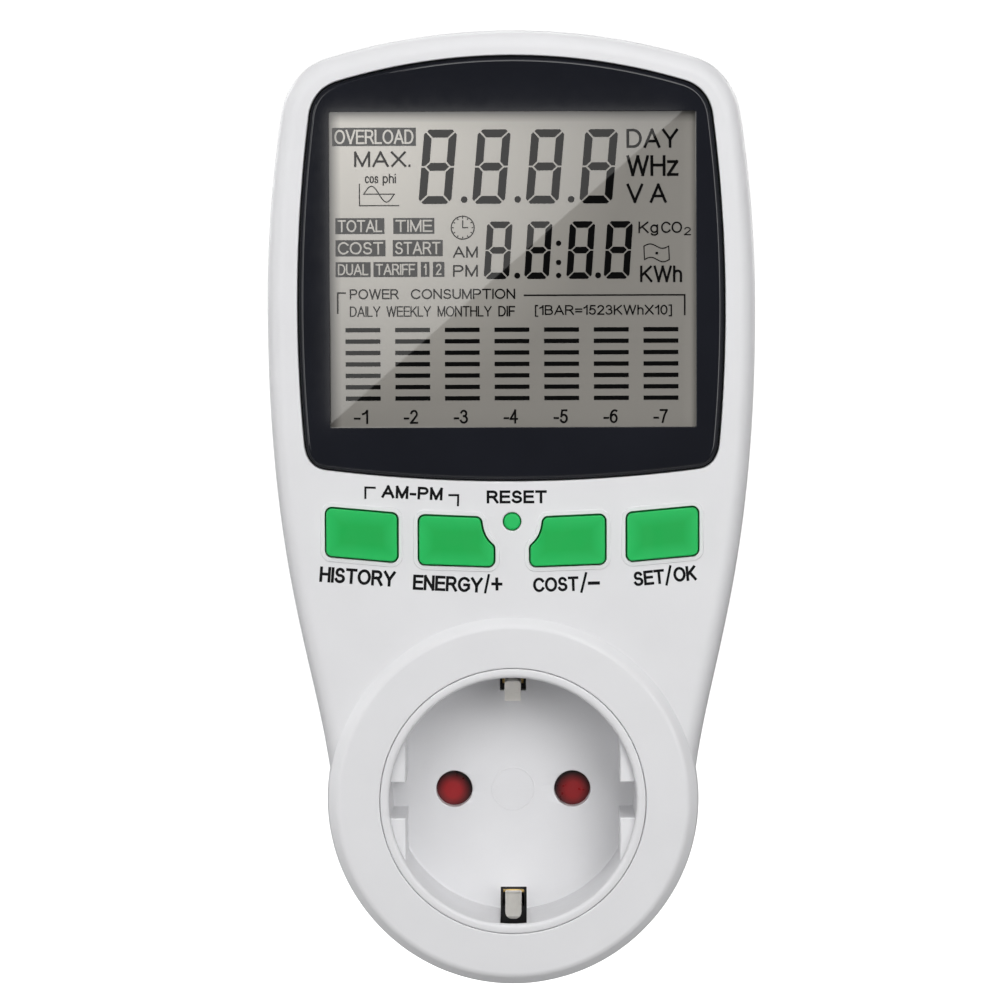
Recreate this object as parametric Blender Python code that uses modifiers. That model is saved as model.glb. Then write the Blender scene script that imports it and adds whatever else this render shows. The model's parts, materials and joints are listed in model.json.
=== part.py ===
"""Plug-in power meter with a socket in front and a plug behind.

Frame: origin at the middle of the plug's flat end face, on the plug and socket axis.
+X is right as seen from the front, +Y points to the wall, +Z points up to the display.
Sizes are in millimetres and are scaled to metres when a mesh is made.
"""

import math

import bmesh
import bpy
from mathutils import Matrix, Vector, geometry

MM = 0.001

# Depths along Y.
PLUG_FACE = 0.0
BACK = -17.5
FRONT = -55.5
RING_FRONT = -56.7
REAR_EDGE = -35.7
FRONT_EDGE = -36.0
WALL = 2.2

# Housing outline: a round foot, two flaring sides and a bowed top.
FOOT_R = 29.4
FOOT_END = 9.75
WIDEST_X, WIDEST_Z = 38.4, 78.0
SIDE_R = 200.0
TOP_R, TOP_CENTRE_Z = 100.0, 21.2
CORNER_LOW = (35.9, 110.1)
CORNER_TOP = (30.3, 116.5)
FRONT_ROUND, BACK_ROUND = 2.9, 4.2

# Display window outline.
WINDOW_LOW_R, WINDOW_LOW_Z = 232.0, 50.4
WINDOW_TOP_R, WINDOW_TOP_Z = 95.0, 116.85
WINDOW_SIDE_LOW = (32.4, 56.5)
WINDOW_SIDE_TOP = (31.6, 106.8)
WINDOW_BOW = 1.35
WINDOW_LOW_X, WINDOW_TOP_X = 29.0, 27.2

# Display.
LCD_X, LCD_Z = 0.6, 82.5
LCD_W, LCD_H = 60.4, 53.4
VIEW_W, VIEW_H = 57.3, 49.4
VIEW_Z = 83.2

# Keys as (x, z, width, height, lean): an outer pair and an inner pair, mirrored.
OUTER_KEY = (23.65, 42.1, 11.1, 7.5, 5.2)
INNER_KEY = (8.75, 41.1, 11.7, 7.6, 2.0)
KEY_CORNER = 0.9
KEY_GAP = 0.25
KEY_FRONT = -56.2
KEY_END = -49.2
KEY_TRAVEL = 1.0
RESET_Z, RESET_R, SCOOP_R = 44.1, 1.45, 4.85
SCOOP_START, SCOOP_END = 229.0, 190.0

# Socket and plug.
SOCKET_R, LIP_R, BORE_R = 19.5, 20.7, 21.0
FLOOR, FLOOR_BACK = -39.2, -36.7
RIB_X, RIB_NOTCH, RIB_FRONT = 16.9, 2.8, -55.0
PIN_X, PIN_R, PIN_HOLE_R = 9.5, 2.4, 2.9
PIN_LENGTH = 19.0
PLUG_R = 18.8
SLOT_HALF, SLOT_Z = 2.1, 15.9
SHUTTER_TURN = 42.0
CLIP_ROOT = (-33.2, 18.0)

# Boards.
BOARD_FRONT, BOARD_BACK = -45.3, -43.7
POWER_FRONT, POWER_BACK = -25.6, -24.0
BOSS_HIGH = (20.0, 114.2)
BOSS_LOW = (26.0, 21.0)

for old in list(bpy.data.objects):
    bpy.data.objects.remove(old, do_unlink=True)

METER = bpy.data.collections.new("power_meter")
CUTTERS = bpy.data.collections.new("cutters")
bpy.context.scene.collection.children.link(METER)
bpy.context.scene.collection.children.link(CUTTERS)
CUTTERS.hide_render = True

# Colour, metallic and roughness of each material.
LOOKS = {
    "white_plastic": ((0.80, 0.80, 0.81), 0.0, 0.42),
    "grey_plastic": ((0.42, 0.43, 0.44), 0.0, 0.5),
    "black_plastic": ((0.02, 0.02, 0.025), 0.0, 0.5),
    "black_gloss": ((0.012, 0.014, 0.02), 0.0, 0.08),
    "green_plastic": ((0.04, 0.46, 0.10), 0.0, 0.35),
    "red_plastic": ((0.42, 0.02, 0.02), 0.0, 0.45),
    "rubber": ((0.55, 0.56, 0.55), 0.0, 0.8),
    "lcd_glass": ((0.42, 0.42, 0.38), 0.0, 0.15),
    "light_guide": ((0.85, 0.86, 0.84), 0.0, 0.3),
    "board": ((0.03, 0.22, 0.09), 0.0, 0.5),
    "nickel": ((0.72, 0.71, 0.67), 1.0, 0.28),
    "brass": ((0.72, 0.52, 0.22), 1.0, 0.3),
    "steel": ((0.55, 0.56, 0.57), 1.0, 0.35),
    "manganin": ((0.62, 0.42, 0.28), 1.0, 0.4),
    "capacitor_yellow": ((0.80, 0.58, 0.06), 0.0, 0.4),
    "capacitor_black": ((0.03, 0.03, 0.05), 0.0, 0.35),
    "varistor_blue": ((0.03, 0.12, 0.42), 0.0, 0.35),
    "wire_brown": ((0.20, 0.08, 0.03), 0.0, 0.5),
    "wire_blue": ((0.03, 0.10, 0.40), 0.0, 0.5),
    "ceramic": ((0.62, 0.60, 0.55), 0.0, 0.6),
}

# The plane a flat shape is drawn on. Its thickness then runs along Y, X or Z.
FROM_FRONT = Matrix(((1, 0, 0), (0, 0, -1), (0, 1, 0))).to_4x4()
FROM_SIDE = Matrix(((0, 0, 1), (1, 0, 0), (0, 1, 0))).to_4x4()
FROM_TOP = Matrix.Identity(4)


def paint(obj, look):
    color, metal, rough = LOOKS[look]
    material = bpy.data.materials.new(obj.name + "_" + look)
    material.use_nodes = True
    shader = material.node_tree.nodes["Principled BSDF"]
    shader.inputs["Base Color"].default_value = (*color, 1.0)
    shader.inputs["Metallic"].default_value = metal
    shader.inputs["Roughness"].default_value = rough
    obj.data.materials.append(material)


def place(name, data, look, matrix):
    """Link an object. A piece with no look is a helper for Booleans."""
    obj = bpy.data.objects.new(name, data)
    obj.matrix_world = matrix
    if look:
        METER.objects.link(obj)
        paint(obj, look)
    else:
        CUTTERS.objects.link(obj)
        obj.hide_render = True
        obj.display_type = "WIRE"
    return obj


def place_bmesh(name, bm, look, matrix):
    bmesh.ops.recalc_face_normals(bm, faces=bm.faces)
    mesh = bpy.data.meshes.new(name)
    bm.to_mesh(mesh)
    bm.free()
    mesh.shade_smooth()
    mesh.set_sharp_from_angle(angle=math.radians(35))
    return place(name, mesh, look, matrix)


def block(name, xs, ys, zs, look=None):
    """A box from its limits along X, Y and Z."""
    size = [abs(b - a) * MM for a, b in (xs, ys, zs)]
    middle = [(a + b) / 2 * MM for a, b in (xs, ys, zs)]
    bm = bmesh.new()
    bmesh.ops.create_cube(bm, size=1.0, matrix=Matrix.Diagonal((*size, 1.0)))
    return place_bmesh(name, bm, look, Matrix.Translation(middle))


def rod(name, x, z, r, y0, y1, look=None, steps=24, end_r=None):
    """A round bar along Y, or a cone if its end radius differs."""
    bm = bmesh.new()
    radii = {"radius1": r * MM, "radius2": (r if end_r is None else end_r) * MM}
    bmesh.ops.create_cone(bm, cap_ends=True, segments=steps, depth=abs(y1 - y0) * MM, **radii)
    lie = Matrix.Rotation(math.radians(-90 if y1 > y0 else 90), 4, "X")
    middle = Matrix.Translation(Vector((x, (y0 + y1) / 2, z)) * MM)
    return place_bmesh(name, bm, look, middle @ lie)


def turned(name, profile, look=None, steps=48, x=0.0, z=0.0):
    """Turn a profile of (y, radius) points about an axis along Y, closing it on the axis."""
    points = [(profile[0][0], 0.0)] + list(profile) + [(profile[-1][0], 0.0)]
    area = sum(a[0] * b[1] - b[0] * a[1] for a, b in zip(points, points[1:]))
    if area < 0:
        points.reverse()
    mesh = bpy.data.meshes.new(name)
    verts = [(r * MM, y * MM, 0.0) for y, r in points]
    mesh.from_pydata(verts, [(i, i + 1) for i in range(len(verts) - 1)], [])
    obj = place(name, mesh, look, Matrix.Translation(Vector((x, 0, z)) * MM))
    screw = obj.modifiers.new("turn", "SCREW")
    screw.axis = "Y"
    screw.steps = screw.render_steps = steps
    screw.use_merge_vertices = True
    screw.merge_threshold = 0.000001
    return obj


def as_mesh(curve, look):
    """Make a closed mesh object of a curve object and remove the curve."""
    bpy.context.view_layer.update()
    graph = bpy.context.evaluated_depsgraph_get()
    mesh = bpy.data.meshes.new_from_object(curve.evaluated_get(graph))
    name, matrix = curve.name, curve.matrix_world.copy()
    bpy.data.objects.remove(curve, do_unlink=True)
    bm = bmesh.new()
    bm.from_mesh(mesh)
    bpy.data.meshes.remove(mesh)
    bmesh.ops.remove_doubles(bm, verts=bm.verts, dist=0.000002)
    return place_bmesh(name, bm, look, matrix)


def plate(name, outlines, span, look=None, plane=FROM_FRONT):
    """A flat piece from one outline, or from an outline and the holes in it."""
    drawing = bpy.data.curves.new(name, "CURVE")
    drawing.dimensions = "2D"
    drawing.fill_mode = "BOTH"
    drawing.extrude = abs(span[1] - span[0]) / 2 * MM
    for outline in [outlines] if isinstance(outlines[0][0], (int, float)) else outlines:
        spline = drawing.splines.new("POLY")
        spline.points.add(len(outline) - 1)
        for knot, (u, v) in zip(spline.points, outline):
            knot.co = (u * MM, v * MM, 0.0, 1.0)
        spline.use_cyclic_u = True
    middle = (span[0] + span[1]) / 2 * MM
    rise = Matrix.Translation((0, 0, -middle if plane is FROM_FRONT else middle))
    return as_mesh(place(name, drawing, None, plane @ rise), look)


def tub(name, outline, face_y, rim_y, edge, look):
    """An open shell: a flat face, straight sides, a rounded edge between and a wall thickness."""
    bm = bmesh.new()
    rim = [bm.verts.new(Vector((u, v, -rim_y)) * MM) for u, v in outline]
    loop = [bm.edges.new(pair) for pair in zip(rim, rim[1:] + rim[:1])]
    grown = bmesh.ops.extrude_edge_only(bm, edges=loop)["geom"]
    moved = [v for v in grown if isinstance(v, bmesh.types.BMVert)]
    bmesh.ops.translate(bm, verts=moved, vec=(0, 0, (rim_y - face_y) * MM))
    bmesh.ops.contextual_create(bm, geom=[e for e in grown if isinstance(e, bmesh.types.BMEdge)])
    obj = place_bmesh(name, bm, look, FROM_FRONT)
    soften(obj, edge, 4)
    wall = obj.modifiers.new("wall", "SOLIDIFY")
    wall.thickness = WALL * MM
    wall.offset = -1.0
    wall.use_even_offset = True
    return obj


def soften(obj, width, segments=3):
    """Round the edges that turn by more than 50 degrees."""
    bevel = obj.modifiers.new("round", "BEVEL")
    bevel.width = width * MM
    bevel.segments = segments
    bevel.limit_method = "ANGLE"
    bevel.angle_limit = math.radians(50)
    return obj


def combine(obj, other, operation):
    modifier = obj.modifiers.new(other.name, "BOOLEAN")
    modifier.object = other
    modifier.operation = operation
    modifier.solver = "EXACT"


def cut(obj, *others):
    for other in others:
        combine(obj, other, "DIFFERENCE")


def join(obj, *others):
    for other in others:
        combine(obj, other, "UNION")


def pivot_at(obj, point):
    """Move an object's origin to its joint axis and leave its shape where it is."""
    old = obj.matrix_world.copy()
    new = Matrix.Translation(Vector(point) * MM)
    obj.data.transform(new.inverted() @ old)
    obj.matrix_world = new


# Drawing in the plane.


def inset(points, distance):
    """Move every side of a counter-clockwise outline inwards by a distance."""
    moved = []
    for before, here, after in zip(points[-1:] + points[:-1], points, points[1:] + points[:1]):
        into = (Vector(here) - Vector(before)).normalized()
        out = (Vector(after) - Vector(here)).normalized()
        normal = Vector((-into.y - out.y, into.x + out.x)).normalized()
        lean = max(0.5, normal.dot(Vector((-into.y, into.x))))
        moved.append(tuple(Vector(here) + normal * (distance / lean)))
    return moved


def arc(centre, r, start, end, steps):
    """Points on a circle from one angle to another, both in degrees."""
    angles = [math.radians(start + (end - start) * i / steps) for i in range(steps + 1)]
    return [(centre[0] + r * math.cos(a), centre[1] + r * math.sin(a)) for a in angles]


def curve(start, handle, other_handle, end, steps):
    points = [Vector((*p, 0.0)) for p in (start, handle, other_handle, end)]
    return [(p.x, p.y) for p in geometry.interpolate_bezier(*points, steps + 1)]


def chain(*runs):
    """Join runs of points, leaving out the point where two runs meet."""
    points = list(runs[0])
    for run in runs[1:]:
        points += run[1:]
    return points


def mirrored(right_half):
    """Close an outline from its right half, which runs from the foot up to the top."""
    left = [(-x, z) for x, z in reversed(right_half)]
    return right_half + left[1:-1]


def rounded(points, radius, steps=4):
    """Round every corner of an outline."""
    result = []
    for before, here, after in zip(points[-1:] + points[:-1], points, points[1:] + points[:1]):
        result += corner(before, here, after, radius, steps)
    return result


def corner(before, here, after, radius, steps):
    before, here, after = Vector(before), Vector(here), Vector(after)
    back, ahead = (before - here).normalized(), (after - here).normalized()
    half = back.angle(ahead) / 2
    reach = radius / math.tan(half)
    centre = here + (back + ahead).normalized() * (radius / math.sin(half))
    start, end = here + back * reach - centre, here + ahead * reach - centre
    ways = [start.slerp(end, i / steps).normalized() for i in range(steps + 1)]
    return [tuple(centre + way * radius) for way in ways]


def oblong(x0, x1, z0, z1, radius, steps=4):
    return rounded([(x0, z0), (x1, z0), (x1, z1), (x0, z1)], radius, steps)


def bent(points, radius, steps=4):
    """Round the inner corners of an open path."""
    path = [points[0]]
    for before, here, after in zip(points, points[1:], points[2:]):
        path += corner(before, here, after, radius, steps)
    return path + [points[-1]]


def thickened(path, thickness):
    """The outline of a bent strip, drawn on its edge."""
    sides = ([], [])
    for i, here in enumerate(path):
        into = (Vector(here) - Vector(path[i - 1])).normalized() if i else None
        out = (Vector(path[i + 1]) - Vector(here)).normalized() if i + 1 < len(path) else None
        way = ((into or out) + (out or into)).normalized()
        lean = max(0.6, way.dot(into or out))
        side = Vector((-way.y, way.x)) * (thickness / 2 / lean)
        sides[0].append(tuple(Vector(here) - side))
        sides[1].append(tuple(Vector(here) + side))
    return sides[0] + sides[1][::-1]


def tilted(centre_x, centre_z, width, height, lean):
    """A rectangle whose long sides lean while its short sides stay upright."""
    rise = math.tan(math.radians(lean)) * width / 2
    left, right = centre_x - width / 2, centre_x + width / 2
    low, high = centre_z - height / 2, centre_z + height / 2
    return [(left, low - rise), (right, low + rise), (right, high + rise), (left, high - rise)]


def flipped(points):
    """Mirror an outline left to right, keeping it counter-clockwise."""
    return [(-x, z) for x, z in reversed(points)]


def tube(name, points, radius, look, smooth=True):
    """A round wire through 3-D points."""
    data = bpy.data.curves.new(name, "CURVE")
    data.dimensions = "3D"
    data.bevel_depth = radius * MM
    data.bevel_resolution = 2 if smooth else 1
    data.resolution_u = 6
    data.use_fill_caps = True
    if smooth:
        spline = data.splines.new("BEZIER")
        spline.bezier_points.add(len(points) - 1)
        for knot, point in zip(spline.bezier_points, points):
            knot.co = Vector(point) * MM
            knot.handle_left_type = knot.handle_right_type = "AUTO"
    else:
        spline = data.splines.new("POLY")
        spline.points.add(len(points) - 1)
        for knot, point in zip(spline.points, points):
            knot.co = (*(Vector(point) * MM), 1.0)
    return place(name, data, look, Matrix.Identity(4))


# Outlines.


def housing_outline():
    low = arc((0, 0), FOOT_R, -90, FOOT_END, 14)
    swing = math.degrees(math.asin((CORNER_LOW[1] - WIDEST_Z) / SIDE_R))
    lean = math.degrees(math.asin(CORNER_TOP[0] / TOP_R))
    right = chain(
        low,
        curve(low[-1], (31.5, 23.0), (WIDEST_X, 37.0), (WIDEST_X, WIDEST_Z), 8),
        arc((WIDEST_X - SIDE_R, WIDEST_Z), SIDE_R, 0, swing, 4),
        curve(CORNER_LOW, (35.4, 113.1), (33.2, 115.6), CORNER_TOP, 6),
        arc((0, TOP_CENTRE_Z), TOP_R, 90 - lean, 90, 4),
    )
    return mirrored(right)


def bowed(start, end, sag, steps):
    """An arc between two points that bulges to the right of its chord by sag."""
    a, b = Vector(start), Vector(end)
    half = (b - a).length / 2
    r = (half**2 + sag**2) / (2 * sag)
    side = Vector(((b - a).y, -(b - a).x)).normalized()
    centre = (a + b) / 2 - side * (r - sag)
    first = math.degrees(math.atan2(a.y - centre.y, a.x - centre.x))
    last = math.degrees(math.atan2(b.y - centre.y, b.x - centre.x))
    return arc(tuple(centre), r, first, last, steps)


def window_outline():
    low_sweep = math.degrees(math.asin(WINDOW_LOW_X / WINDOW_LOW_R))
    top_sweep = math.degrees(math.asin(WINDOW_TOP_X / WINDOW_TOP_R))
    low_centre = (0, WINDOW_LOW_Z + WINDOW_LOW_R)
    top_centre = (0, WINDOW_TOP_Z - WINDOW_TOP_R)
    low = arc(low_centre, WINDOW_LOW_R, -90, -90 + low_sweep, 5)
    top = arc(top_centre, WINDOW_TOP_R, 90 - top_sweep, 90, 6)
    right = chain(
        low,
        curve(low[-1], (31.2, 52.6), (32.2, 54.2), WINDOW_SIDE_LOW, 5),
        bowed(WINDOW_SIDE_LOW, WINDOW_SIDE_TOP, WINDOW_BOW, 8),
        curve(WINDOW_SIDE_TOP, (31.4, 109.6), (30.0, 111.9), top[0], 6),
        top,
    )
    return mirrored(right)


def inner_key_outline():
    """The inner left key, with a scoop cut round the reset button."""
    x, z, width, height, lean = INNER_KEY
    corners = [Vector(p) for p in tilted(-x, z, width, height, -lean)]
    left_low, right_low, right_high, left_high = corners
    scoop = [Vector(p) for p in arc((0, RESET_Z), SCOOP_R, SCOOP_START, SCOOP_END, 7)]
    drop = (right_low.x - scoop[0].x) / math.tan(math.radians(SCOOP_START))
    low = Vector((right_low.x, scoop[0].y - drop))
    drift = (right_high.y - scoop[-1].y) * math.tan(math.radians(SCOOP_END))
    high = Vector((scoop[-1].x - drift, right_high.y))
    outline = corner(left_high, left_low, right_low, KEY_CORNER, 4)
    outline += corner(left_low, right_low, low, KEY_CORNER, 4)
    outline += corner(right_low, low, scoop[0], 0.7, 3)
    outline += [tuple(p) for p in scoop[1:]]
    outline += corner(scoop[-1], high, left_high, 0.8, 4)
    return outline + corner(high, left_high, left_low, KEY_CORNER, 4)


HOUSING = housing_outline()
WINDOW = window_outline()
OUTER_RIGHT = rounded(tilted(*OUTER_KEY), KEY_CORNER)
INNER_LEFT = inner_key_outline()
KEYS = {
    "key_history": flipped(OUTER_RIGHT),
    "key_energy": INNER_LEFT,
    "key_cost": flipped(INNER_LEFT),
    "key_set": OUTER_RIGHT,
}
KEY_MIDDLES = {
    "key_history": (-OUTER_KEY[0], OUTER_KEY[1]),
    "key_energy": (-INNER_KEY[0], INNER_KEY[1]),
    "key_cost": (INNER_KEY[0], INNER_KEY[1]),
    "key_set": (OUTER_KEY[0], OUTER_KEY[1]),
}
BOSSES = [(side * x, z) for x, z in (BOSS_HIGH, BOSS_LOW) for side in (-1, 1)]
BOARD_POSTS = [(-16.3, 33.6), (16.3, 33.6)]
SIDES = (("upper", 1), ("lower", -1))


# Housing.


def front_shell():
    shell = tub("front_shell", HOUSING, FRONT, FRONT_EDGE, FRONT_ROUND, "white_plastic")
    ring = [(-52.5, 28.4), (-55.3, 29.1), (-55.6, 29.0), (-56.3, 28.1), (-56.6, 27.7)]
    join(shell, turned("ring", ring + [(RING_FRONT, 27.2)], steps=64))
    for i, (x, z) in enumerate(BOSSES):
        start = -53.6 if z < 50 else -51.6
        join(shell, rod(f"front_boss_{i}", x, z, 3.1, start, -37.7, steps=16))
    for i, side in enumerate((-1, 1)):
        gusset = ((side * 20 - 1.2, side * 20 + 1.2), (-51.6, -38.5), (116.0, 118.0))
        join(shell, block(f"gusset_{i}", *gusset))
    for i, (x, z) in enumerate(BOARD_POSTS):
        join(shell, rod(f"board_post_{i}", x, z, 1.9, -53.6, -45.6, steps=16))
    for name, outline in KEYS.items():
        rim = plate(name + "_rim", inset(outline, -1.0), (-55.75, -54.6))
        join(shell, soften(rim, 0.15, 1))
    cut_front(shell)
    return shell


def cut_front(shell):
    cut(shell, plate("seam_rebate", inset(HOUSING, 1.0), (-37.8, -35.0)))
    cut(shell, rod("bore", 0, 0, BORE_R, -58, -50, steps=64))
    cut(shell, plate("window_opening", WINDOW, (-57, -50)))
    cut(shell, plate("window_pocket", inset(WINDOW, -1.1), (-54.0, -50.5)))
    for name, outline in KEYS.items():
        cut(shell, plate(name + "_hole", inset(outline, -KEY_GAP), (-58, -50.2)))
    cut(shell, rod("reset_hole", 0, RESET_Z, RESET_R + 0.2, -58, -50))
    for i, (x, z) in enumerate(BOSSES):
        cut(shell, rod(f"boss_bore_{i}", x, z, 1.6, -47.5, -37.0, steps=12))
    for i, (x, z) in enumerate(BOARD_POSTS):
        cut(shell, rod(f"post_bore_{i}", x, z, 0.9, -51.5, -45.0, steps=12))


def rear_shell():
    shell = tub("rear_shell", HOUSING, BACK, -37.4, BACK_ROUND, "white_plastic")
    for i, (x, z) in enumerate(BOSSES):
        join(shell, rod(f"rear_boss_{i}", x, z, 3.6, -37.3, -18.5, steps=16))
    for i, (x, z) in enumerate(((-25, 42), (25, 42), (-25, 98), (25, 98))):
        join(shell, rod(f"stand_off_{i}", x, z, 2.4, POWER_BACK + 0.3, -18.5, steps=12))
    lip_cutter = [inset(HOUSING, -3.0), inset(HOUSING, 1.3)]
    cut(shell, plate("lip_cutter", lip_cutter, (-38.5, REAR_EDGE)))
    cut(shell, rod("plug_opening", 0, 0, PLUG_R + 0.3, -25, -15, steps=64))
    for i, (x, z) in enumerate(BOSSES):
        cut(shell, rod(f"screw_well_{i}", x, z, 2.6, -24.6, -15.0, steps=16))
        cut(shell, rod(f"screw_way_{i}", x, z, 1.7, -38.0, -23.0, steps=12))
    for i, z in enumerate((64, 70, 76)):
        cut(shell, plate(f"vent_{i}", oblong(-14, 14, z, z + 1.6, 0.75, 3), (-22, -15)))
    return shell


def screws():
    names = ("case_screw_high_left", "case_screw_high_right", "case_screw_low_left", "case_screw_low_right")
    shank = [(-45.0, 0.6), (-44.0, 1.3), (-24.3, 1.3)]
    for name, (x, z) in zip(names, BOSSES):
        screw = turned(name, shank + [(-24.3, 2.3), (-23.0, 2.3), (-22.4, 1.7)], "steel", 20, x, z)
        cut(screw, rod(name + "_cross", x, z, 0.5, -23.4, -22.0, steps=4, end_r=1.3))
    shank = [(-50.5, 0.4), (-49.8, 0.75), (-43.4, 0.75)]
    for tag, (x, z) in zip(("left", "right"), BOARD_POSTS):
        head = [(-43.4, 1.6), (-42.6, 1.6), (-42.2, 1.1)]
        turned("board_screw_" + tag, shank + head, "steel", 16, x, z)


# Display.


def display():
    window = plate("display_window", inset(WINDOW, 0.3), (-55.4, -52.9), "black_gloss")
    soften(window, 0.5, 2)
    join(window, plate("window_flange", inset(WINDOW, -0.8), (-53.7, -52.4)))
    x0, x1 = LCD_X - LCD_W / 2, LCD_X + LCD_W / 2
    z0, z1 = LCD_Z - LCD_H / 2, LCD_Z + LCD_H / 2
    wide, high = VIEW_W / 2 + 0.6, VIEW_H / 2 + 0.6
    view = oblong(LCD_X - wide, LCD_X + wide, VIEW_Z - high, VIEW_Z + high, 0.4, 2)
    outside = oblong(x0 - 1.2, x1 + 1.2, z0 - 1.2, z1 + 1.2, 0.8, 2)
    frame = plate("lcd_frame", [outside, view], (-52.1, -45.7), "black_plastic")
    cut(frame, block("frame_pocket", (x0 - 0.3, x1 + 0.3), (-51.3, -44), (z0 - 0.3, z1 + 0.3)))
    block("lcd_glass", (x0, x1), (-51.0, -48.8), (z0, z1), "lcd_glass")
    block("light_guide", (x0, x1), (-48.5, -46.2), (z0 + 4.5, z1), "light_guide")
    block("contact_strip", (x0 + 1, x1 - 1), (-48.5, -45.6), (z0 + 0.8, z0 + 3.6), "rubber")
    board = oblong(-31.2, 32.0, 31.6, 110.6, 1.5)
    board = plate("display_board", board, (BOARD_FRONT, BOARD_BACK), "board")
    for i, (x, z) in enumerate(BOARD_POSTS):
        cut(board, rod(f"board_hole_{i}", x, z, 1.1, -47, -42, steps=16))
    block("controller_chip", (-7, 7), (-43.4, -41.8), (66, 80), "black_plastic")
    turned("crystal", [(-43.4, 1.5), (-37.6, 1.5), (-37.2, 1.2)], "steel", 16, 14, 73)


# Keys.


def keys():
    for name, outline in KEYS.items():
        x, z = KEY_MIDDLES[name]
        key = plate(name, outline, (KEY_FRONT, -52.6), "green_plastic")
        pivot_at(key, (x, KEY_FRONT, z))
        soften(key, 0.3, 2)
        join(key, plate(name + "_flange", inset(outline, -0.8), (-53.0, -52.1)))
        join(key, rod(name + "_stem", x, z, 2.6, -52.6, KEY_END))
    profile = [(KEY_END, 1.2), (-52.1, 1.2), (-52.1, 2.3), (-53.0, 2.3), (-53.0, RESET_R)]
    profile += [(-55.1, RESET_R), (-55.3, RESET_R - 0.2)]
    turned("reset_button", profile, "green_plastic", 24, 0, RESET_Z)
    key_mat()


def key_mat():
    mat = plate("key_mat", oblong(-30, 30, 36.6, 49.6, 1.5), (-46.4, -45.6), "rubber")
    for i, (x, z) in enumerate([*KEY_MIDDLES.values(), (0, RESET_Z)]):
        wide = 3.6 if x else 2.4
        dome = [(-46.1, wide), (-47.0, wide), (-48.3, wide - 1.0), (-48.9, wide - 1.2)]
        join(mat, turned(f"dome_{i}", dome, steps=18, x=x, z=z))


# Socket.


def socket_insert():
    cup = [
        (FLOOR, SOCKET_R),
        (-56.1, SOCKET_R),
        (-56.5, SOCKET_R + 0.15),
        (RING_FRONT, SOCKET_R + 0.5),
        (RING_FRONT, LIP_R - 0.25),
        (-56.4, LIP_R),
        (-38.5, LIP_R),
        (-38.5, 23.5),
        (FLOOR_BACK, 23.5),
    ]
    insert = turned("socket_insert", cup, "white_plastic", 64)
    for tag, side in (("left", -1), ("right", 1)):
        for end in (-1, 1):
            join(insert, plate(f"rib_{tag}_{end + 1}", rib_outline(side, end), (RIB_FRONT, -38.4)))
        cut(insert, rod("pin_hole_" + tag, side * PIN_X, 0, PIN_HOLE_R, -41, -35, steps=36))
    for tag, side in SIDES:
        slot = ((-SLOT_HALF, SLOT_HALF), (-55.7, -36.0), (side * SLOT_Z, side * 21.2))
        gap = ((-3.5, 3.5), (-38.9, -36.0), (side * 20.9, side * 25))
        cut(insert, block("clip_slot_" + tag, *slot))
        cut(insert, block("flange_gap_" + tag, *gap))
    join(insert, rod("pivot", 0, 0, 1.6, -37.2, -33.6))


def rib_outline(side, end):
    """One half of a side rib: its face is flat and its back is inside the cup wall."""
    outline = [(RIB_X, RIB_NOTCH), (20.1, RIB_NOTCH), (17.6, 9.9), (RIB_X, 9.9)]
    return [(side * x, end * z) for x, z in outline]


def shutter():
    red = turned("shutter", [(-35.0, 14.0), (-36.2, 14.0), (-36.4, 13.8)], "red_plastic", 48)
    join(red, rod("shutter_hub", 0, 0, 2.7, -35.4, -33.8))
    join(red, rod("shutter_peg", -5.6, 0, 0.8, -35.4, -33.2, steps=12))
    cut(red, rod("shutter_bore", 0, 0, 1.9, -38, -30))
    turn = math.radians(SHUTTER_TURN)
    for i, side in enumerate((-1, 1)):
        x, z = side * PIN_X * math.cos(turn), side * PIN_X * math.sin(turn)
        cut(red, rod(f"shutter_hole_{i}", x, z, 3.2, -38, -30, steps=32))
    turns, r, pitch, start, steps = 3, 3.4, 0.75, -34.4, 16
    coil = []
    for i in range(turns * steps + 1):
        angle = 2 * math.pi * i / steps
        coil.append((r * math.cos(angle), start + pitch * i / steps, r * math.sin(angle)))
    tube("shutter_spring", coil, 0.25, "steel", smooth=False)


def contacts():
    holder = oblong(-14.8, 14.8, -8.0, 8.0, 1.5)
    carrier = plate("contact_carrier", holder, (-31.3, -20.9), "black_plastic")
    for tag, side in (("neutral", -1), ("live", 1)):
        x = side * PIN_X
        cut(carrier, block("pocket_" + tag, (x - 4.2, x + 4.2), (-32, -22.4), (-3.4, 3.4)))
        cut(carrier, rod("link_way_" + tag, x, 0, 1.9, -24, -20, steps=16))
        path = [(3.5, -31.0), (2.4, -29.6), (2.4, -22.9), (-2.4, -22.9), (-2.4, -29.6), (-3.5, -31.0)]
        fork = thickened(bent([(x + w, y) for w, y in path], 0.6), 0.6)
        plate("contact_" + tag, fork, (-2.5, 2.5), "brass", FROM_TOP)
        plug_pin(tag, x)
    rod("neutral_link", -PIN_X, 0, 1.3, -22.2, -8.9, "brass", 16)
    path = [(PIN_X, -22.2), (PIN_X, -18.6), (6.6, -17.0), (6.6, -12.6), (PIN_X, -11.0), (PIN_X, -8.9)]
    shunt = thickened(bent(path, 0.9), 0.8)
    plate("current_shunt", shunt, (-1.3, 1.3), "manganin", FROM_TOP)
    holder = plate("pin_holder", oblong(-14.3, 14.3, -6.5, 6.5, 1.5), (-8.0, -5.2), "grey_plastic")
    for tag, side in (("left", -1), ("right", 1)):
        cut(holder, rod("holder_way_" + tag, side * PIN_X, 0, 1.9, -9, -4, steps=16))


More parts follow.
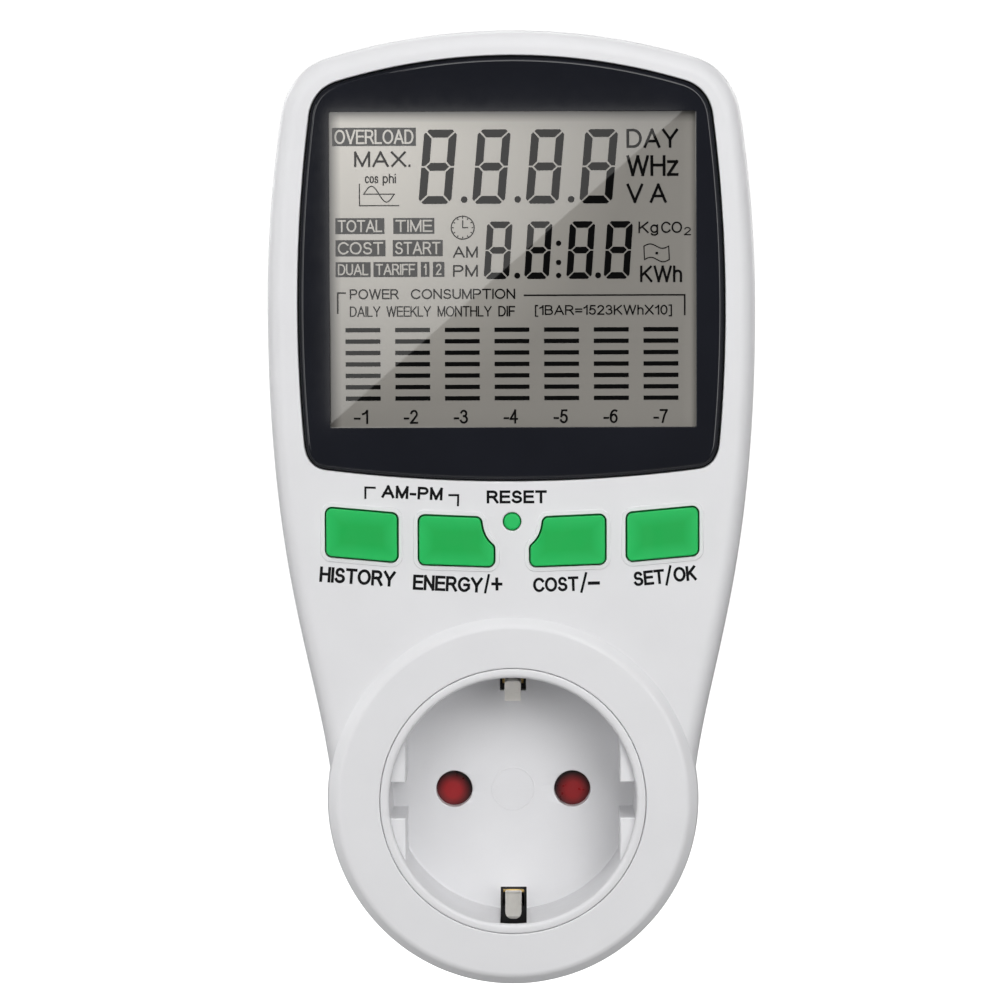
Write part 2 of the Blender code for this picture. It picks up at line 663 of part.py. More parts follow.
def plug_pin(tag, x):
    end = PLUG_FACE + PIN_LENGTH
    profile = [(-8.6, 1.6), (-4.9, 1.6), (-4.9, 3.4), (-2.6, 3.4), (-2.6, PIN_R), (end - 1.4, PIN_R)]
    profile += [(end - 0.7, 2.1), (end - 0.2, 1.5), (end, 0.8)]
    turned("plug_pin_" + tag, profile, "nickel", 32, x, 0)


def plug_body():
    profile = [(-21.2, 21.5), (-20.0, 21.5), (-20.0, PLUG_R), (-1.4, PLUG_R)]
    profile += [(-0.5, PLUG_R - 0.3), (-0.1, PLUG_R - 0.9), (PLUG_FACE, PLUG_R - 1.4)]
    body = turned("plug_body", profile, "white_plastic", 60)
    hollow = oblong(-14.8, 14.8, -12.2, 12.2, 7.0, 6)
    cut(body, plate("plug_hollow", hollow, (-25, -2.2)))
    cut(body, block("bridge_way", (-2.6, 2.6), (-22, -19.4), (-18.2, 18.2)))
    cut(body, block("carrier_way", (-15.1, 15.1), (-22, -20.6), (-8.3, 8.3)))
    for tag, side in (("left", -1), ("right", 1)):
        cut(body, rod("pin_way_" + tag, side * PIN_X, 0, PIN_R + 0.3, -4, 1))
        for end in (-1, 1):
            flat = ((side * 16.4, side * 20), (-17.2, 1), (end * 2.6, end * 14))
            cut(body, block(f"flat_{tag}_{end + 1}", *flat))
    for tag, side in SIDES:
        cut(body, block("strip_groove_" + tag, (-3.0, 3.0), (-17.2, 1), (side * 15.2, side * 20)))
        cut(body, block("strip_fold_" + tag, (-3.0, 3.0), (-1.2, 1), (side * 9.7, side * 20)))
        cut(body, block("strip_slot_" + tag, (-2.7, 2.7), (-4, 1), (side * 9.7, side * 11.1)))


def earth_parts():
    crossing = [(-34.7, 17.0), (-20.2, 17.0), (-20.2, -17.0), (-34.7, -17.0)]
    crossing = thickened(bent(crossing, 1.2), 0.8)
    bridge = plate("earth_bridge", crossing, (-2.0, 2.0), "brass", FROM_SIDE)
    for tag, side in SIDES:
        tab = ((-2.0, 2.0), (-20.3, -9.8), (side * 8.9, side * 9.7))
        join(bridge, block("bridge_tab_" + tag, *tab))
        strip = [(-10.0, 10.4), (-0.6, 10.4), (-0.6, 15.9), (-15.5, 15.9)]
        strip = thickened(bent([(y, side * z) for y, z in strip], 0.8), 0.8)
        plate("plug_earth_" + tag, strip, (-2.3, 2.3), "nickel", FROM_SIDE)
        earth_clip(tag, side)
        earth_guide(tag, side)


def earth_clip(tag, side):
    path = [(-31.6, 18.0), (-39.5, 18.0), (-49.4, 15.3), (-53.2, 18.9)]
    edge = thickened(bent([(y, side * z) for y, z in path], 1.4, 5), 0.6)
    clip = plate("earth_clip_" + tag, edge, (-1.3, 1.3), "nickel", FROM_SIDE)
    pivot_at(clip, (0, CLIP_ROOT[0], side * CLIP_ROOT[1]))
    tip = [(-1.3, 13.0)] + arc((0, 17.9), 1.3, 180, 0, 10) + [(1.3, 13.0)]
    tip = [(x, side * z) for x, z in tip]
    around = [(x, side * z) for x, z in [(-3, 12), (3, 12), (3, 22), (-3, 22)]]
    cut(clip, plate("tip_cutter_" + tag, [around, tip], (-55, -50.8)))


def earth_guide(tag, side):
    back = ((-3.1, 3.1), (-52.2, -35.2), (side * 22.2, side * 23.3))
    guide = block("earth_guide_" + tag, *back, "black_plastic")
    base = ((-3.1, 3.1), (-36.4, -35.2), (side * 15.0, side * 22.6))
    join(guide, block("guide_base_" + tag, *base))
    for i, end in enumerate((-1, 1)):
        cheek = ((end * 2.3, end * 3.1), (-52.2, -35.8), (side * 21.1, side * 22.6))
        join(guide, block(f"guide_cheek_{tag}_{i}", *cheek))
    cut(guide, block("guide_way_" + tag, (-1.7, 1.7), (-37, -34), (side * 16.7, side * 19.4)))


# Electronics.


def electronics():
    board = oblong(-29, 29, 37, 103, 1.5)
    plate("power_board", board, (POWER_FRONT, POWER_BACK), "board")
    face = POWER_FRONT - 0.3
    box = oblong(-24, 2, 44, 54, 0.8, 2)
    plate("mains_capacitor", box, (face - 13, face), "capacitor_yellow")
    can = [(face, 5.0), (face - 11.6, 5.0), (face - 12.0, 4.7), (face - 12.4, 4.7)]
    turned("bulk_capacitor", can, "capacitor_black", 28, -17, 66)
    plate("varistor", oblong(8, 20, 48, 51.5, 1.2, 3), (face - 9, face), "varistor_blue")
    resistor = [(face, 2.2), (face - 9.0, 2.2), (face - 9.6, 1.8)]
    turned("fusible_resistor", resistor, "ceramic", 16, 24, 64)
    block("metering_chip", (4, 12), (face - 1.6, face), (72, 80), "black_plastic")
    block("board_header", (-13, 13), (BOARD_BACK + 0.3, face), (97, 100), "black_plastic")
    cell = [(face, 5.8), (face - 10.2, 5.8), (face - 10.6, 5.4), (face - 11.0, 5.4)]
    turned("backup_battery", cell, "varistor_blue", 32, 14, 88)
    for tag, side, look in (("neutral", -1, "wire_blue"), ("live", 1, "wire_brown")):
        way = [(11.5, -18.5, 9.3), (11.6, -22.6, 10.6), (17, -23.2, 17), (22, -22.8, 27), (18, -22.6, 40)]
        tube("lead_" + tag, [(side * x, y, z) for x, y, z in way], 0.8, look)


front_shell()
rear_shell()
screws()
display()
keys()
socket_insert()
shutter()
contacts()
plug_body()
earth_parts()
electronics()
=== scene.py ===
"""Looks for the plug-in power meter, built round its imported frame.

Sizes in this script are millimetres in the part's frame, and are scaled to metres when a mesh
is made. +X is right as seen from the front, +Y points to the wall and +Z up.
"""

import json
import math

import bmesh
import bpy
from mathutils import Matrix, Vector, geometry


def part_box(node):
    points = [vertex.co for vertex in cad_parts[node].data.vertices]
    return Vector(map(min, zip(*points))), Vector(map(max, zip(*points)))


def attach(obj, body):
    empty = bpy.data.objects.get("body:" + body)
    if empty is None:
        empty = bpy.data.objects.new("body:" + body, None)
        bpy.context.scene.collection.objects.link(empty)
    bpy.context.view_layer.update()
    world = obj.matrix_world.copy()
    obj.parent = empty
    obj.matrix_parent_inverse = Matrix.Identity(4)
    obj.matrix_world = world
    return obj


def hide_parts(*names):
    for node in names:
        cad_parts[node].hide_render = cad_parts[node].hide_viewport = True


MM = 0.001

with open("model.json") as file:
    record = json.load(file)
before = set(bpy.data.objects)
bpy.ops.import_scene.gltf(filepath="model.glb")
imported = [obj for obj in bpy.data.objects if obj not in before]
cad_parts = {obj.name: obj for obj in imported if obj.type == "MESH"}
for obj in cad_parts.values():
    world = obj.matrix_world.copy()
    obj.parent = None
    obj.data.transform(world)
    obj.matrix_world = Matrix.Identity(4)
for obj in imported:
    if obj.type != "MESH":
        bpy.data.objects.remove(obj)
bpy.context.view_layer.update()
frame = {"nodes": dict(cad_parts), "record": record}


def box_mm(node):
    """Limits of a CAD node as (x0, x1), (y0, y1), (z0, z1) in millimetres."""
    low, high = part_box(node)
    return [(low[i] / MM, high[i] / MM) for i in range(3)]


# Depths along Y, read from the frame.
SHELL_Y = box_mm("front_shell")[1]
REAR_Y = box_mm("rear_shell")[1]
WINDOW_Y = box_mm("display_window")[1]
LCD = box_mm("lcd_glass")
RING_FRONT = SHELL_Y[0]
FRONT = RING_FRONT + 1.2
BACK = REAR_Y[1]
WALL = 2.2
FRONT_EDGE, REAR_EDGE = -36.0, -35.7
STEP_Y, REAR_LIP = -37.8, -37.4
FRONT_ROUND, BACK_ROUND = 2.9, 4.2

# Housing outline.
FOOT_R, FOOT_END = 29.4, 9.75
WIDEST_X, WIDEST_Z = 38.4, 78.0
SIDE_R = 200.0
TOP_R, TOP_CENTRE_Z = 100.0, 21.2
CORNER_LOW, CORNER_TOP = (36.14, 108.0), (29.0, 116.9)

# Display window outline.
WINDOW_LOW_R, WINDOW_LOW_Z = 232.0, 50.4
WINDOW_TOP_R, WINDOW_TOP_Z = 95.0, 117.25
WINDOW_SIDE_LOW, WINDOW_SIDE_TOP = (32.7, 56.5), (31.8, 107.1)
WINDOW_BOW = 1.35
FLANGE_Y = -53.7
WINDOW_LOW_X, WINDOW_TOP_X = 29.3, 27.4

# The visible part of the display.
VIEW_X, VIEW_Z = 0.25, 83.69
VIEW_W, VIEW_H = 57.5, 49.5
VIEW_FRONT = WINDOW_Y[0] + 1.5
VIEW_LIMITS = (
    VIEW_X - VIEW_W / 2,
    VIEW_X + VIEW_W / 2,
    VIEW_Z - VIEW_H / 2,
    VIEW_Z + VIEW_H / 2,
)

# Keys as (x, z, width, height, lean).
OUTER_KEY = (23.65, 42.1, 11.1, 7.5, 5.2)
INNER_KEY = (8.75, 41.1, 11.7, 7.6, 2.0)
KEY_CORNER, KEY_GAP = 0.9, 0.27
KEY_FRONT = box_mm("key_set")[1][0]
KEY_RIM = FRONT - 0.14
SKIRT_Y = (-52.1, -53.0)
RESET_Z, RESET_R, SCOOP_R = 44.1, 1.32, 4.85
SCOOP_START, SCOOP_END = 229.0, 190.0
# The posts stop this far short of the CAD's, so that a pressed key clears the rubber mat.
KEY_TRAVEL, RESET_TRAVEL = 1.0, 0.8

# Socket and plug.
SOCKET_R, LIP_R, BORE_R = 19.5, 20.97, 21.0
FLOOR, FLOOR_BACK = -39.2, -36.7
RIB_X, RIB_NOTCH, RIB_FRONT = 16.9, 2.8, -55.0
PIN_X, PIN_R, PIN_HOLE_R = 9.5, 2.4, 2.9
PIN_END = box_mm("plug_pin_live")[1][1]
SLOT_HALF, SLOT_Z = 2.1, 15.9
SHUTTER_TURN = 42.0
PLUG_R = 18.8
BOSSES = ((-20.0, 114.2), (20.0, 114.2), (-26.0, 21.0), (26.0, 21.0))


# Drawing in the plane of the front, as (x, z).


def bow(x, z, rx, rz, start, end, steps=14):
    """Part of an ellipse, between two angles in degrees."""
    angles = [math.radians(start + (end - start) * i / steps) for i in range(steps + 1)]
    return [(x + rx * math.cos(a), z + rz * math.sin(a)) for a in angles]


def arc(centre, r, start, end, steps):
    return bow(*centre, r, r, start, end, steps)


def circle(r, steps=64, x=0.0, z=0.0):
    return arc((x, z), r, 0, 360, steps)[:-1]


def curve(start, handle, other_handle, end, steps):
    points = [Vector((*p, 0.0)) for p in (start, handle, other_handle, end)]
    return [(p.x, p.y) for p in geometry.interpolate_bezier(*points, steps + 1)]


def chain(*runs):
    points = list(runs[0])
    for run in runs[1:]:
        points += run[1:]
    return points


def mirrored(right_half):
    return right_half + [(-x, z) for x, z in reversed(right_half)][1:-1]


def quadrant(outline, side, end=1):
    """An outline mirrored across either axis or both, and still counter-clockwise."""
    return [(side * x, end * z) for x, z in outline][:: side * end]


def neighbours(points):
    """Each point of a closed outline between the one before it and the one after."""
    return zip(points[-1:] + points[:-1], points, points[1:] + points[:1])


def inset(points, distance):
    """Move every side of a counter-clockwise outline inwards by a distance."""
    moved = []
    for before, here, after in neighbours(points):
        into = (Vector(here) - Vector(before)).normalized()
        out = (Vector(after) - Vector(here)).normalized()
        normal = Vector((-into.y - out.y, into.x + out.x)).normalized()
        lean = max(0.5, normal.dot(Vector((-into.y, into.x))))
        moved.append(tuple(Vector(here) + normal * (distance / lean)))
    return moved


def corner(before, here, after, radius, steps):
    before, here, after = Vector(before), Vector(here), Vector(after)
    back, ahead = (before - here).normalized(), (after - here).normalized()
    half = back.angle(ahead) / 2
    reach = radius / math.tan(half)
    centre = here + (back + ahead).normalized() * (radius / math.sin(half))
    start, end = here + back * reach - centre, here + ahead * reach - centre
    ways = [start.slerp(end, i / steps).normalized() for i in range(steps + 1)]
    return [tuple(centre + way * radius) for way in ways]


def rounded(points, radius, steps=8):
    result = []
    for before, here, after in neighbours(points):
        result += corner(before, here, after, radius, steps)
    return result


def oblong(x0, x1, z0, z1, radius, steps=6):
    return rounded([(x0, z0), (x1, z0), (x1, z1), (x0, z1)], radius, steps)


def bent(points, radius, steps=8):
    """Round the inner corners of an open path."""
    path = [points[0]]
    for before, here, after in zip(points, points[1:], points[2:]):
        path += corner(before, here, after, radius, steps)
    return path + [points[-1]]


def tilted(centre_x, centre_z, width, height, lean):
    rise = math.tan(math.radians(lean)) * width / 2
    left, right = centre_x - width / 2, centre_x + width / 2
    low, high = centre_z - height / 2, centre_z + height / 2
    return [(left, low - rise), (right, low + rise), (right, high + rise), (left, high - rise)]


def housing_outline():
    low = arc((0, 0), FOOT_R, -90, FOOT_END, 44)
    swing = math.degrees(math.asin((CORNER_LOW[1] - WIDEST_Z) / SIDE_R))
    lean = math.degrees(math.asin(CORNER_TOP[0] / TOP_R))
    right = chain(
        low,
        curve(low[-1], (31.5, 23.0), (WIDEST_X, 37.0), (WIDEST_X, WIDEST_Z), 28),
        arc((WIDEST_X - SIDE_R, WIDEST_Z), SIDE_R, 0, swing, 10),
        curve(CORNER_LOW, (35.51, 112.15), (32.83, 115.74), CORNER_TOP, 18),
        arc((0, TOP_CENTRE_Z), TOP_R, 90 - lean, 90, 14),
    )
    return mirrored(right)


def bowed(start, end, sag, steps):
    """An arc between two points that bulges to the right of its chord by sag."""
    a, b = Vector(start), Vector(end)
    half = (b - a).length / 2
    r = (half**2 + sag**2) / (2 * sag)
    side = Vector(((b - a).y, -(b - a).x)).normalized()
    centre = (a + b) / 2 - side * (r - sag)
    first = math.degrees(math.atan2(a.y - centre.y, a.x - centre.x))
    last = math.degrees(math.atan2(b.y - centre.y, b.x - centre.x))
    return arc(tuple(centre), r, first, last, steps)


def window_outline():
    low_sweep = math.degrees(math.asin(WINDOW_LOW_X / WINDOW_LOW_R))
    top_sweep = math.degrees(math.asin(WINDOW_TOP_X / WINDOW_TOP_R))
    low = arc((0, WINDOW_LOW_Z + WINDOW_LOW_R), WINDOW_LOW_R, -90, -90 + low_sweep, 12)
    top = arc((0, WINDOW_TOP_Z - WINDOW_TOP_R), WINDOW_TOP_R, 90 - top_sweep, 90, 14)
    right = chain(
        low,
        curve(low[-1], (31.5, 52.6), (32.5, 54.2), WINDOW_SIDE_LOW, 12),
        bowed(WINDOW_SIDE_LOW, WINDOW_SIDE_TOP, WINDOW_BOW, 18),
        curve(WINDOW_SIDE_TOP, (31.6, 110.0), (30.2, 112.3), top[0], 14),
        top,
    )
    return mirrored(right)


def inner_key_outline():
    """The inner left key, with a scoop cut round the reset button."""
    x, z, width, height, lean = INNER_KEY
    corners = [Vector(p) for p in tilted(-x, z, width, height, -lean)]
    left_low, right_low, right_high, left_high = corners
    scoop = [Vector(p) for p in arc((0, RESET_Z), SCOOP_R, SCOOP_START, SCOOP_END, 14)]
    drop = (right_low.x - scoop[0].x) / math.tan(math.radians(SCOOP_START))
    low = Vector((right_low.x, scoop[0].y - drop))
    drift = (right_high.y - scoop[-1].y) * math.tan(math.radians(SCOOP_END))
    high = Vector((scoop[-1].x - drift, right_high.y))
    outline = corner(left_high, left_low, right_low, KEY_CORNER, 8)
    outline += corner(left_low, right_low, low, KEY_CORNER, 8)
    outline += corner(right_low, low, scoop[0], 0.7, 6)
    outline += [tuple(p) for p in scoop[1:]]
    outline += corner(scoop[-1], high, left_high, 0.8, 8)
    return outline + corner(high, left_high, left_low, KEY_CORNER, 8)


HOUSING = housing_outline()
WINDOW = window_outline()
OUTER_RIGHT = rounded(tilted(*OUTER_KEY), KEY_CORNER)
INNER_LEFT = inner_key_outline()
KEYS = {
    "key_history": quadrant(OUTER_RIGHT, -1),
    "key_energy": INNER_LEFT,
    "key_cost": quadrant(INNER_LEFT, -1),
    "key_set": OUTER_RIGHT,
}

# Meshes.


def placed(name, data):
    """A new object in the scene."""
    obj = bpy.data.objects.new(name, data)
    bpy.context.scene.collection.objects.link(obj)
    return obj


def shade(mesh, sharp_angle):
    mesh.shade_smooth()
    mesh.set_sharp_from_angle(angle=math.radians(sharp_angle))


def finish_mesh(name, bm, material):
    bmesh.ops.recalc_face_normals(bm, faces=bm.faces)
    mesh = bpy.data.meshes.new(name)
    bm.to_mesh(mesh)
    bm.free()
    shade(mesh, 35)
    if material:
        mesh.materials.append(material)
    return placed(name, mesh)


def skin(bm, loops, closed=False):
    """Faces between neighbouring loops of mesh points."""
    for a, b in list(zip(loops, loops[1:])) + ([(loops[-1], loops[0])] if closed else []):
        for i in range(len(a)):
            j = (i + 1) % len(a)
            bm.faces.new((a[i], a[j], b[j], b[i]))


def add_rings(bm, rings, closed=False, from_side=False):
    """Skin a row of rings, each an (outline, depth), and cap both ends unless they join up.

    An outline is drawn as (x, z) with its depth along Y or, from the side, as (y, z) along X.
    """
    loops = []
    for outline, depth in rings:
        places = [(depth, u, v) if from_side else (u, depth, v) for u, v in outline]
        loops.append([bm.verts.new(Vector(place) * MM) for place in places])
    skin(bm, loops, closed)
    if not closed:
        bm.faces.new(loops[0])
        bm.faces.new(loops[-1])


def loft(name, rings, material=None, closed=False, from_side=False):
    bm = bmesh.new()
    add_rings(bm, rings, closed, from_side)
    return finish_mesh(name, bm, material)


def turned(name, profile, material=None, steps=128, x=0.0, z=0.0):
    """Turn a profile of (y, radius) points about an axis along Y, closing it on the axis."""
    return loft(name, [(circle(r, steps, x, z), y) for y, r in profile], material)


def rod(name, r, y0, y1, x=0.0, z=0.0, steps=24):
    return turned(name, [(y0, r), (y1, r)], steps=steps, x=x, z=z)


def plate(name, outline, span, material=None):
    return loft(name, [(outline, y) for y in span], material)


def quarter(steps):
    """How far a round edge has turned in, and how far it has still to rise, step by step."""
    turns = [math.pi / 2 * i / steps for i in range(steps + 1)]
    return [(1 - math.cos(turn), 1 - math.sin(turn)) for turn in turns]


def stepped(outline, profile):
    """Rings from a profile of (inset, depth) points."""
    return [(inset(outline, distance), depth) for distance, depth in profile]


def domed(outline, back, front, edge, steps=5):
    """Rings for a plate whose front edge is rounded."""
    round_edge = [(edge * a, front + edge * b) for a, b in quarter(steps)]
    return [(outline, back)] + stepped(outline, round_edge)


def flare(name, outline, top, edge, deep, steps=5):
    """A cutter that leaves an opening with a rounded edge."""
    profile = [(-edge, top - 2.0), (-edge, top - 0.01)]
    profile += [(-edge * b, top + edge * a) for a, b in quarter(steps)[1:]]
    return loft(name, stepped(outline, profile) + [(outline, deep)])


def boolean(obj, others, operation):
    for other in others:
        modifier = obj.modifiers.new(other.name, "BOOLEAN")
        modifier.object = other
        modifier.operation = operation
        modifier.solver = "EXACT"


def settle(obj, sharp_angle=32):
    """Apply an object's modifiers and remove the helpers that they used."""
    helpers = [m.object for m in obj.modifiers if m.type == "BOOLEAN"]
    bpy.context.view_layer.update()
    graph = bpy.context.evaluated_depsgraph_get()
    mesh = bpy.data.meshes.new_from_object(obj.evaluated_get(graph))
    obj.modifiers.clear()
    old, obj.data = obj.data, mesh
    mesh.name = old.name
    bpy.data.meshes.remove(old)
    for helper in set(helpers):
        data = helper.data
        bpy.data.objects.remove(helper, do_unlink=True)
        bpy.data.meshes.remove(data)
    shade(mesh, sharp_angle)
    return weigh(obj)


def weigh(obj):
    """Shade by face area, so that flat faces stay flat beside their rounded edges."""
    weighted = obj.modifiers.new("weighted", "WEIGHTED_NORMAL")
    weighted.keep_sharp = True
    weighted.weight = 90
    return obj


def stands_for(obj, slot, *nodes, body="housing"):
    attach(obj, body)
    if nodes:
        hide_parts(*nodes)
    return obj


# Materials. Each is procedural, in the piece's own coordinates.


def link(tree, source, target):
    """Feed a socket from another, or give it a constant."""
    if isinstance(source, bpy.types.NodeSocket):
        tree.links.new(source, target)
    elif isinstance(source, tuple):
        target.default_value = (*source, 1.0)
    else:
        target.default_value = source


def add_node(tree, kind, sockets, **settings):
    """The outputs of a new shader node, given its settings and then what feeds its sockets."""
    node = tree.nodes.new("ShaderNode" + kind)
    for setting, value in settings.items():
        setattr(node, setting, value)
    for socket, value in sockets.items():
        link(tree, value, node.inputs[socket])
    return node.outputs


def object_coords(tree):
    return add_node(tree, "TexCoord", {})["Object"]


def axes(tree):
    return add_node(tree, "SeparateXYZ", {"Vector": object_coords(tree)})


def reckon(tree, operation, first, second=0.0):
    return add_node(tree, "Math", {0: first, 1: second}, operation=operation)["Value"]


def distance_from(tree, coords, place):
    """How far a point is from a place in millimetres."""
    sockets = {0: coords, 1: Vector(place) * MM}
    return add_node(tree, "VectorMath", sockets, operation="DISTANCE")["Value"]


def noise(tree, coords, scale, detail, stretch=None):
    """A noise texture. Its scale is the number of lumps to a metre."""
    if stretch:
        stretching = {"Vector": coords, "Scale": Vector(stretch)}
        coords = add_node(tree, "Mapping", stretching)["Vector"]
    sockets = {"Vector": coords, "Scale": scale, "Detail": detail}
    return add_node(tree, "TexNoise", sockets)["Fac"]


def spread(tree, value, low, high, from_low=0.3, from_high=0.7):
    """Map a range of values to another, and hold its ends."""
    limits = {"From Min": from_low, "From Max": from_high, "To Min": low, "To Max": high}
    return add_node(tree, "MapRange", {"Value": value, **limits})["Result"]


def blend_colors(tree, factor, one, other):
    sockets = {"Factor": factor, "A": one, "B": other}
    return add_node(tree, "Mix", sockets, data_type="RGBA")["Result"]


def shader_of(material):
    return material.node_tree.nodes["Principled BSDF"]


def tint(material, *layers):
    """Cover a material's colour with others, each a (factor, colour)."""
    tree, base = material.node_tree, shader_of(material).inputs["Base Color"]
    tone = base.links[0].from_socket
    for factor, color in layers:
        tone = blend_colors(tree, factor, tone, color)
    link(tree, tone, base)


def shaded(color, factor):
    return tuple(min(1.0, c * factor) for c in color)


def surface(
    name,
    color,
    rough,
    metal=0.0,
    mottle=0.05,
    mottle_scale=90.0,
    grain=0.0,
    grain_scale=3500.0,
    rough_spread=0.06,
    stretch=None,
    coat=0.0,
    specular=0.5,
):
    """A Principled material with mottled colour, uneven roughness and a fine grain."""
    material = bpy.data.materials.new(name)
    material.use_nodes = True
    tree, shader = material.node_tree, shader_of(material)
    coords = object_coords(tree)
    patches = spread(tree, noise(tree, coords, mottle_scale, 4.0, stretch), 0.0, 1.0)
    tone = blend_colors(tree, patches, shaded(color, 1 - mottle), shaded(color, 1 + mottle / 2))
    link(tree, tone, shader.inputs["Base Color"])
    wear = noise(tree, coords, mottle_scale * 6, 3.0, stretch)
    roughness = spread(tree, wear, max(0.02, rough - rough_spread), rough + rough_spread)
    link(tree, roughness, shader.inputs["Roughness"])
    shader.inputs["Metallic"].default_value = metal
    shader.inputs["Specular IOR Level"].default_value = specular
    if coat:
        shader.inputs["Coat Weight"].default_value = coat
        shader.inputs["Coat IOR"].default_value = 1.8
        shader.inputs["Coat Roughness"].default_value = 0.012
    if grain:
        height = noise(tree, coords, grain_scale, 2.0, stretch)
        sockets = {"Strength": 1.0, "Distance": grain * MM, "Height": height}
        link(tree, add_node(tree, "Bump", sockets)["Normal"], shader.inputs["Normal"])
    return material


PALE = (0.80, 0.80, 0.815)
WHITE = surface("white_moulding", PALE, 0.42, mottle=0.02, grain=0.004, specular=0.45)
WHITE_BACK = surface(
    "white_textured", (0.78, 0.78, 0.795), 0.5, mottle=0.02, grain=0.012, grain_scale=2600
)
WHITE_SOCKET = surface("white_socket", PALE, 0.36, mottle=0.02, grain=0.002)
WINDOW_BLACK = (0.010, 0.011, 0.016)
GLOSS_BLACK = surface("window_black", WINDOW_BLACK, 0.05, mottle=0.15, rough_spread=0.008)
INK = surface(
    "legend_ink", (0.004, 0.004, 0.005), 0.6, mottle=0.2, mottle_scale=900, specular=0.12
)
DARK_SEGMENT, PALE_SEGMENT = (0.001, 0.001, 0.001), (0.012, 0.012, 0.013)
SEGMENT = surface("segment_black", DARK_SEGMENT, 0.6, mottle=0.2, specular=0.0, coat=0.45)
BOX_TINT = surface("legend_box", PALE_SEGMENT, 0.6, mottle=0.2, specular=0.0, coat=0.7)
# The paler green colours the reset button, and is also painted on the rims of the keys as a sheen.
KEY_GREEN, PALE_GREEN_AND_KEY_SHEEN = (0.004, 0.435, 0.075), (0.016, 0.55, 0.125)
GREEN = surface("key_green", PALE_GREEN_AND_KEY_SHEEN, 0.38, grain=0.004, specular=0.3)
RED = surface("shutter_red", (0.36, 0.008, 0.012), 0.32, mottle=0.15)
NICKEL = surface(
    "nickel", (0.80, 0.78, 0.73), 0.42, 1.0, 0.08, 400, 0.003, 2500, 0.08, stretch=(1, 0.15, 1)
)
PIN_NICKEL = surface(
    "pin_nickel", (0.76, 0.75, 0.72), 0.2, 1.0, 0.06, 500, 0.002, 3000, 0.08, stretch=(0.2, 3, 0.2)
)


def shadowed_red():
    """Paint shade on the shutter round the edge of each pad that shows through a pin hole."""
    tree = RED.node_tree
    x, _, z = axes(tree)
    folded = add_node(tree, "CombineXYZ", {"X": reckon(tree, "ABSOLUTE", x), "Z": z})["Vector"]
    reach = distance_from(tree, folded, (PIN_X + 0.2, 0, -0.5))
    rim = spread(tree, reach, 0.0, 1.0, 1.2 * MM, 2.9 * MM)
    # Painted shade: the red darkens towards the rim of each hole, where the hole's walls would
    # shade it.
    tint(RED, (rim, (0.008, 0.002, 0.003)))


shadowed_red()
BLACK = surface("black_moulding", (0.018, 0.018, 0.020), 0.45, mottle=0.2, grain=0.006)
STEEL = surface("steel", (0.55, 0.56, 0.57), 0.32, 1.0, 0.08, 500, 0.002)


def glass_of_display():
    """Grey reflector behind the segments, with painted shade at left and top, painted glare at
    upper left and painted light at right.
    """
    base = (0.262, 0.25, 0.228)
    material = surface(
        "lcd_reflector", base, 0.5, mottle=0.02, mottle_scale=60, specular=0.0, coat=1.0
    )
    tree = material.node_tree
    x, _, z = axes(tree)
    left, right, _, top = VIEW_LIMITS
    # Painted glare: the colour brightens towards the upper left corner, standing in for a
    # reflection.
    painted_glare = distance_from(tree, object_coords(tree), (left, VIEW_FRONT, top))
    painted_glare = spread(tree, painted_glare, 1.0, 0.0, 0.0, 48 * MM)
    # Painted light: the right edge is brightened to stand in for light that the window's edge
    # shades off.
    lit = spread(tree, x, 0.0, 1.0, (right - 2.2) * MM, right * MM)
    # Painted shadow: darker along the left and top edges, where the window's edge would cast shade.
    across = spread(tree, x, 0.0, 1.0, (left - 0.4) * MM, (left + 1.8) * MM)
    down = spread(tree, z, 1.0, 0.25, (top - 1.7) * MM, (top + 0.1) * MM)
    shadow = reckon(tree, "SUBTRACT", 1.0, reckon(tree, "MULTIPLY", across, down))
    tint(
        material,
        (painted_glare, shaded(base, 2.3)),
        (lit, shaded(base, 1.15)),
        (shadow, shaded(base, 0.12)),
    )
    return material


REFLECTOR = glass_of_display()


def green_of_key(name, x, z, width, height, lean):
    """Key green with a painted sheen, paler towards the rim of a key given by its middle, size and
    lean.
    """
    material = surface("green_" + name, KEY_GREEN, 0.38, grain=0.004, specular=0.3)
    tree = material.node_tree
    place = axes(tree)
    across = reckon(tree, "SUBTRACT", place["X"], x * MM)
    rise = reckon(tree, "MULTIPLY", across, math.tan(math.radians(lean)))
    up = reckon(tree, "SUBTRACT", reckon(tree, "SUBTRACT", place["Z"], z * MM), rise)
    to_side = reckon(tree, "SUBTRACT", width / 2 * MM, reckon(tree, "ABSOLUTE", across))
    to_end = reckon(tree, "SUBTRACT", height / 2 * MM, reckon(tree, "ABSOLUTE", up))
    edge = reckon(tree, "MINIMUM", to_side, to_end)
    # Painted highlight: the key is paler towards its rim, as if its rounded edge caught the light.
    tint(material, (spread(tree, edge, 0.75, 0.0, 0.3 * MM, 2.4 * MM), PALE_GREEN_AND_KEY_SHEEN))
    return material


def key_materials():
    greens = {}
    for outer, inner, side in (("history", "energy", -1), ("set", "cost", 1)):
        for name, (x, z, width, height, lean) in ((outer, OUTER_KEY), (inner, INNER_KEY)):
            greens["key_" + name] = green_of_key(name, side * x, z, width, height, side * lean)
    return greens


KEY_MATERIALS = key_materials()


# Lettering and marks. Each glyph is a set of strokes on a grid one unit high, with its width first.


SMALL_O = [bow(0.27, 0.36, 0.27, 0.36, 0, 360, 24)]
ESS = bow(0.35, 0.745, 0.29, 0.255, 22, 250) + bow(0.35, 0.255, 0.34, 0.255, 76, -162)
STEM = [(0, 0), (0, 1)]


def bar(z, x1, x0=0):
    return [(x0, z), (x1, z)]


def lobe(x, z, rx, rz, steps=10):
    return bow(x, z, rx, rz, 90, -90, steps)


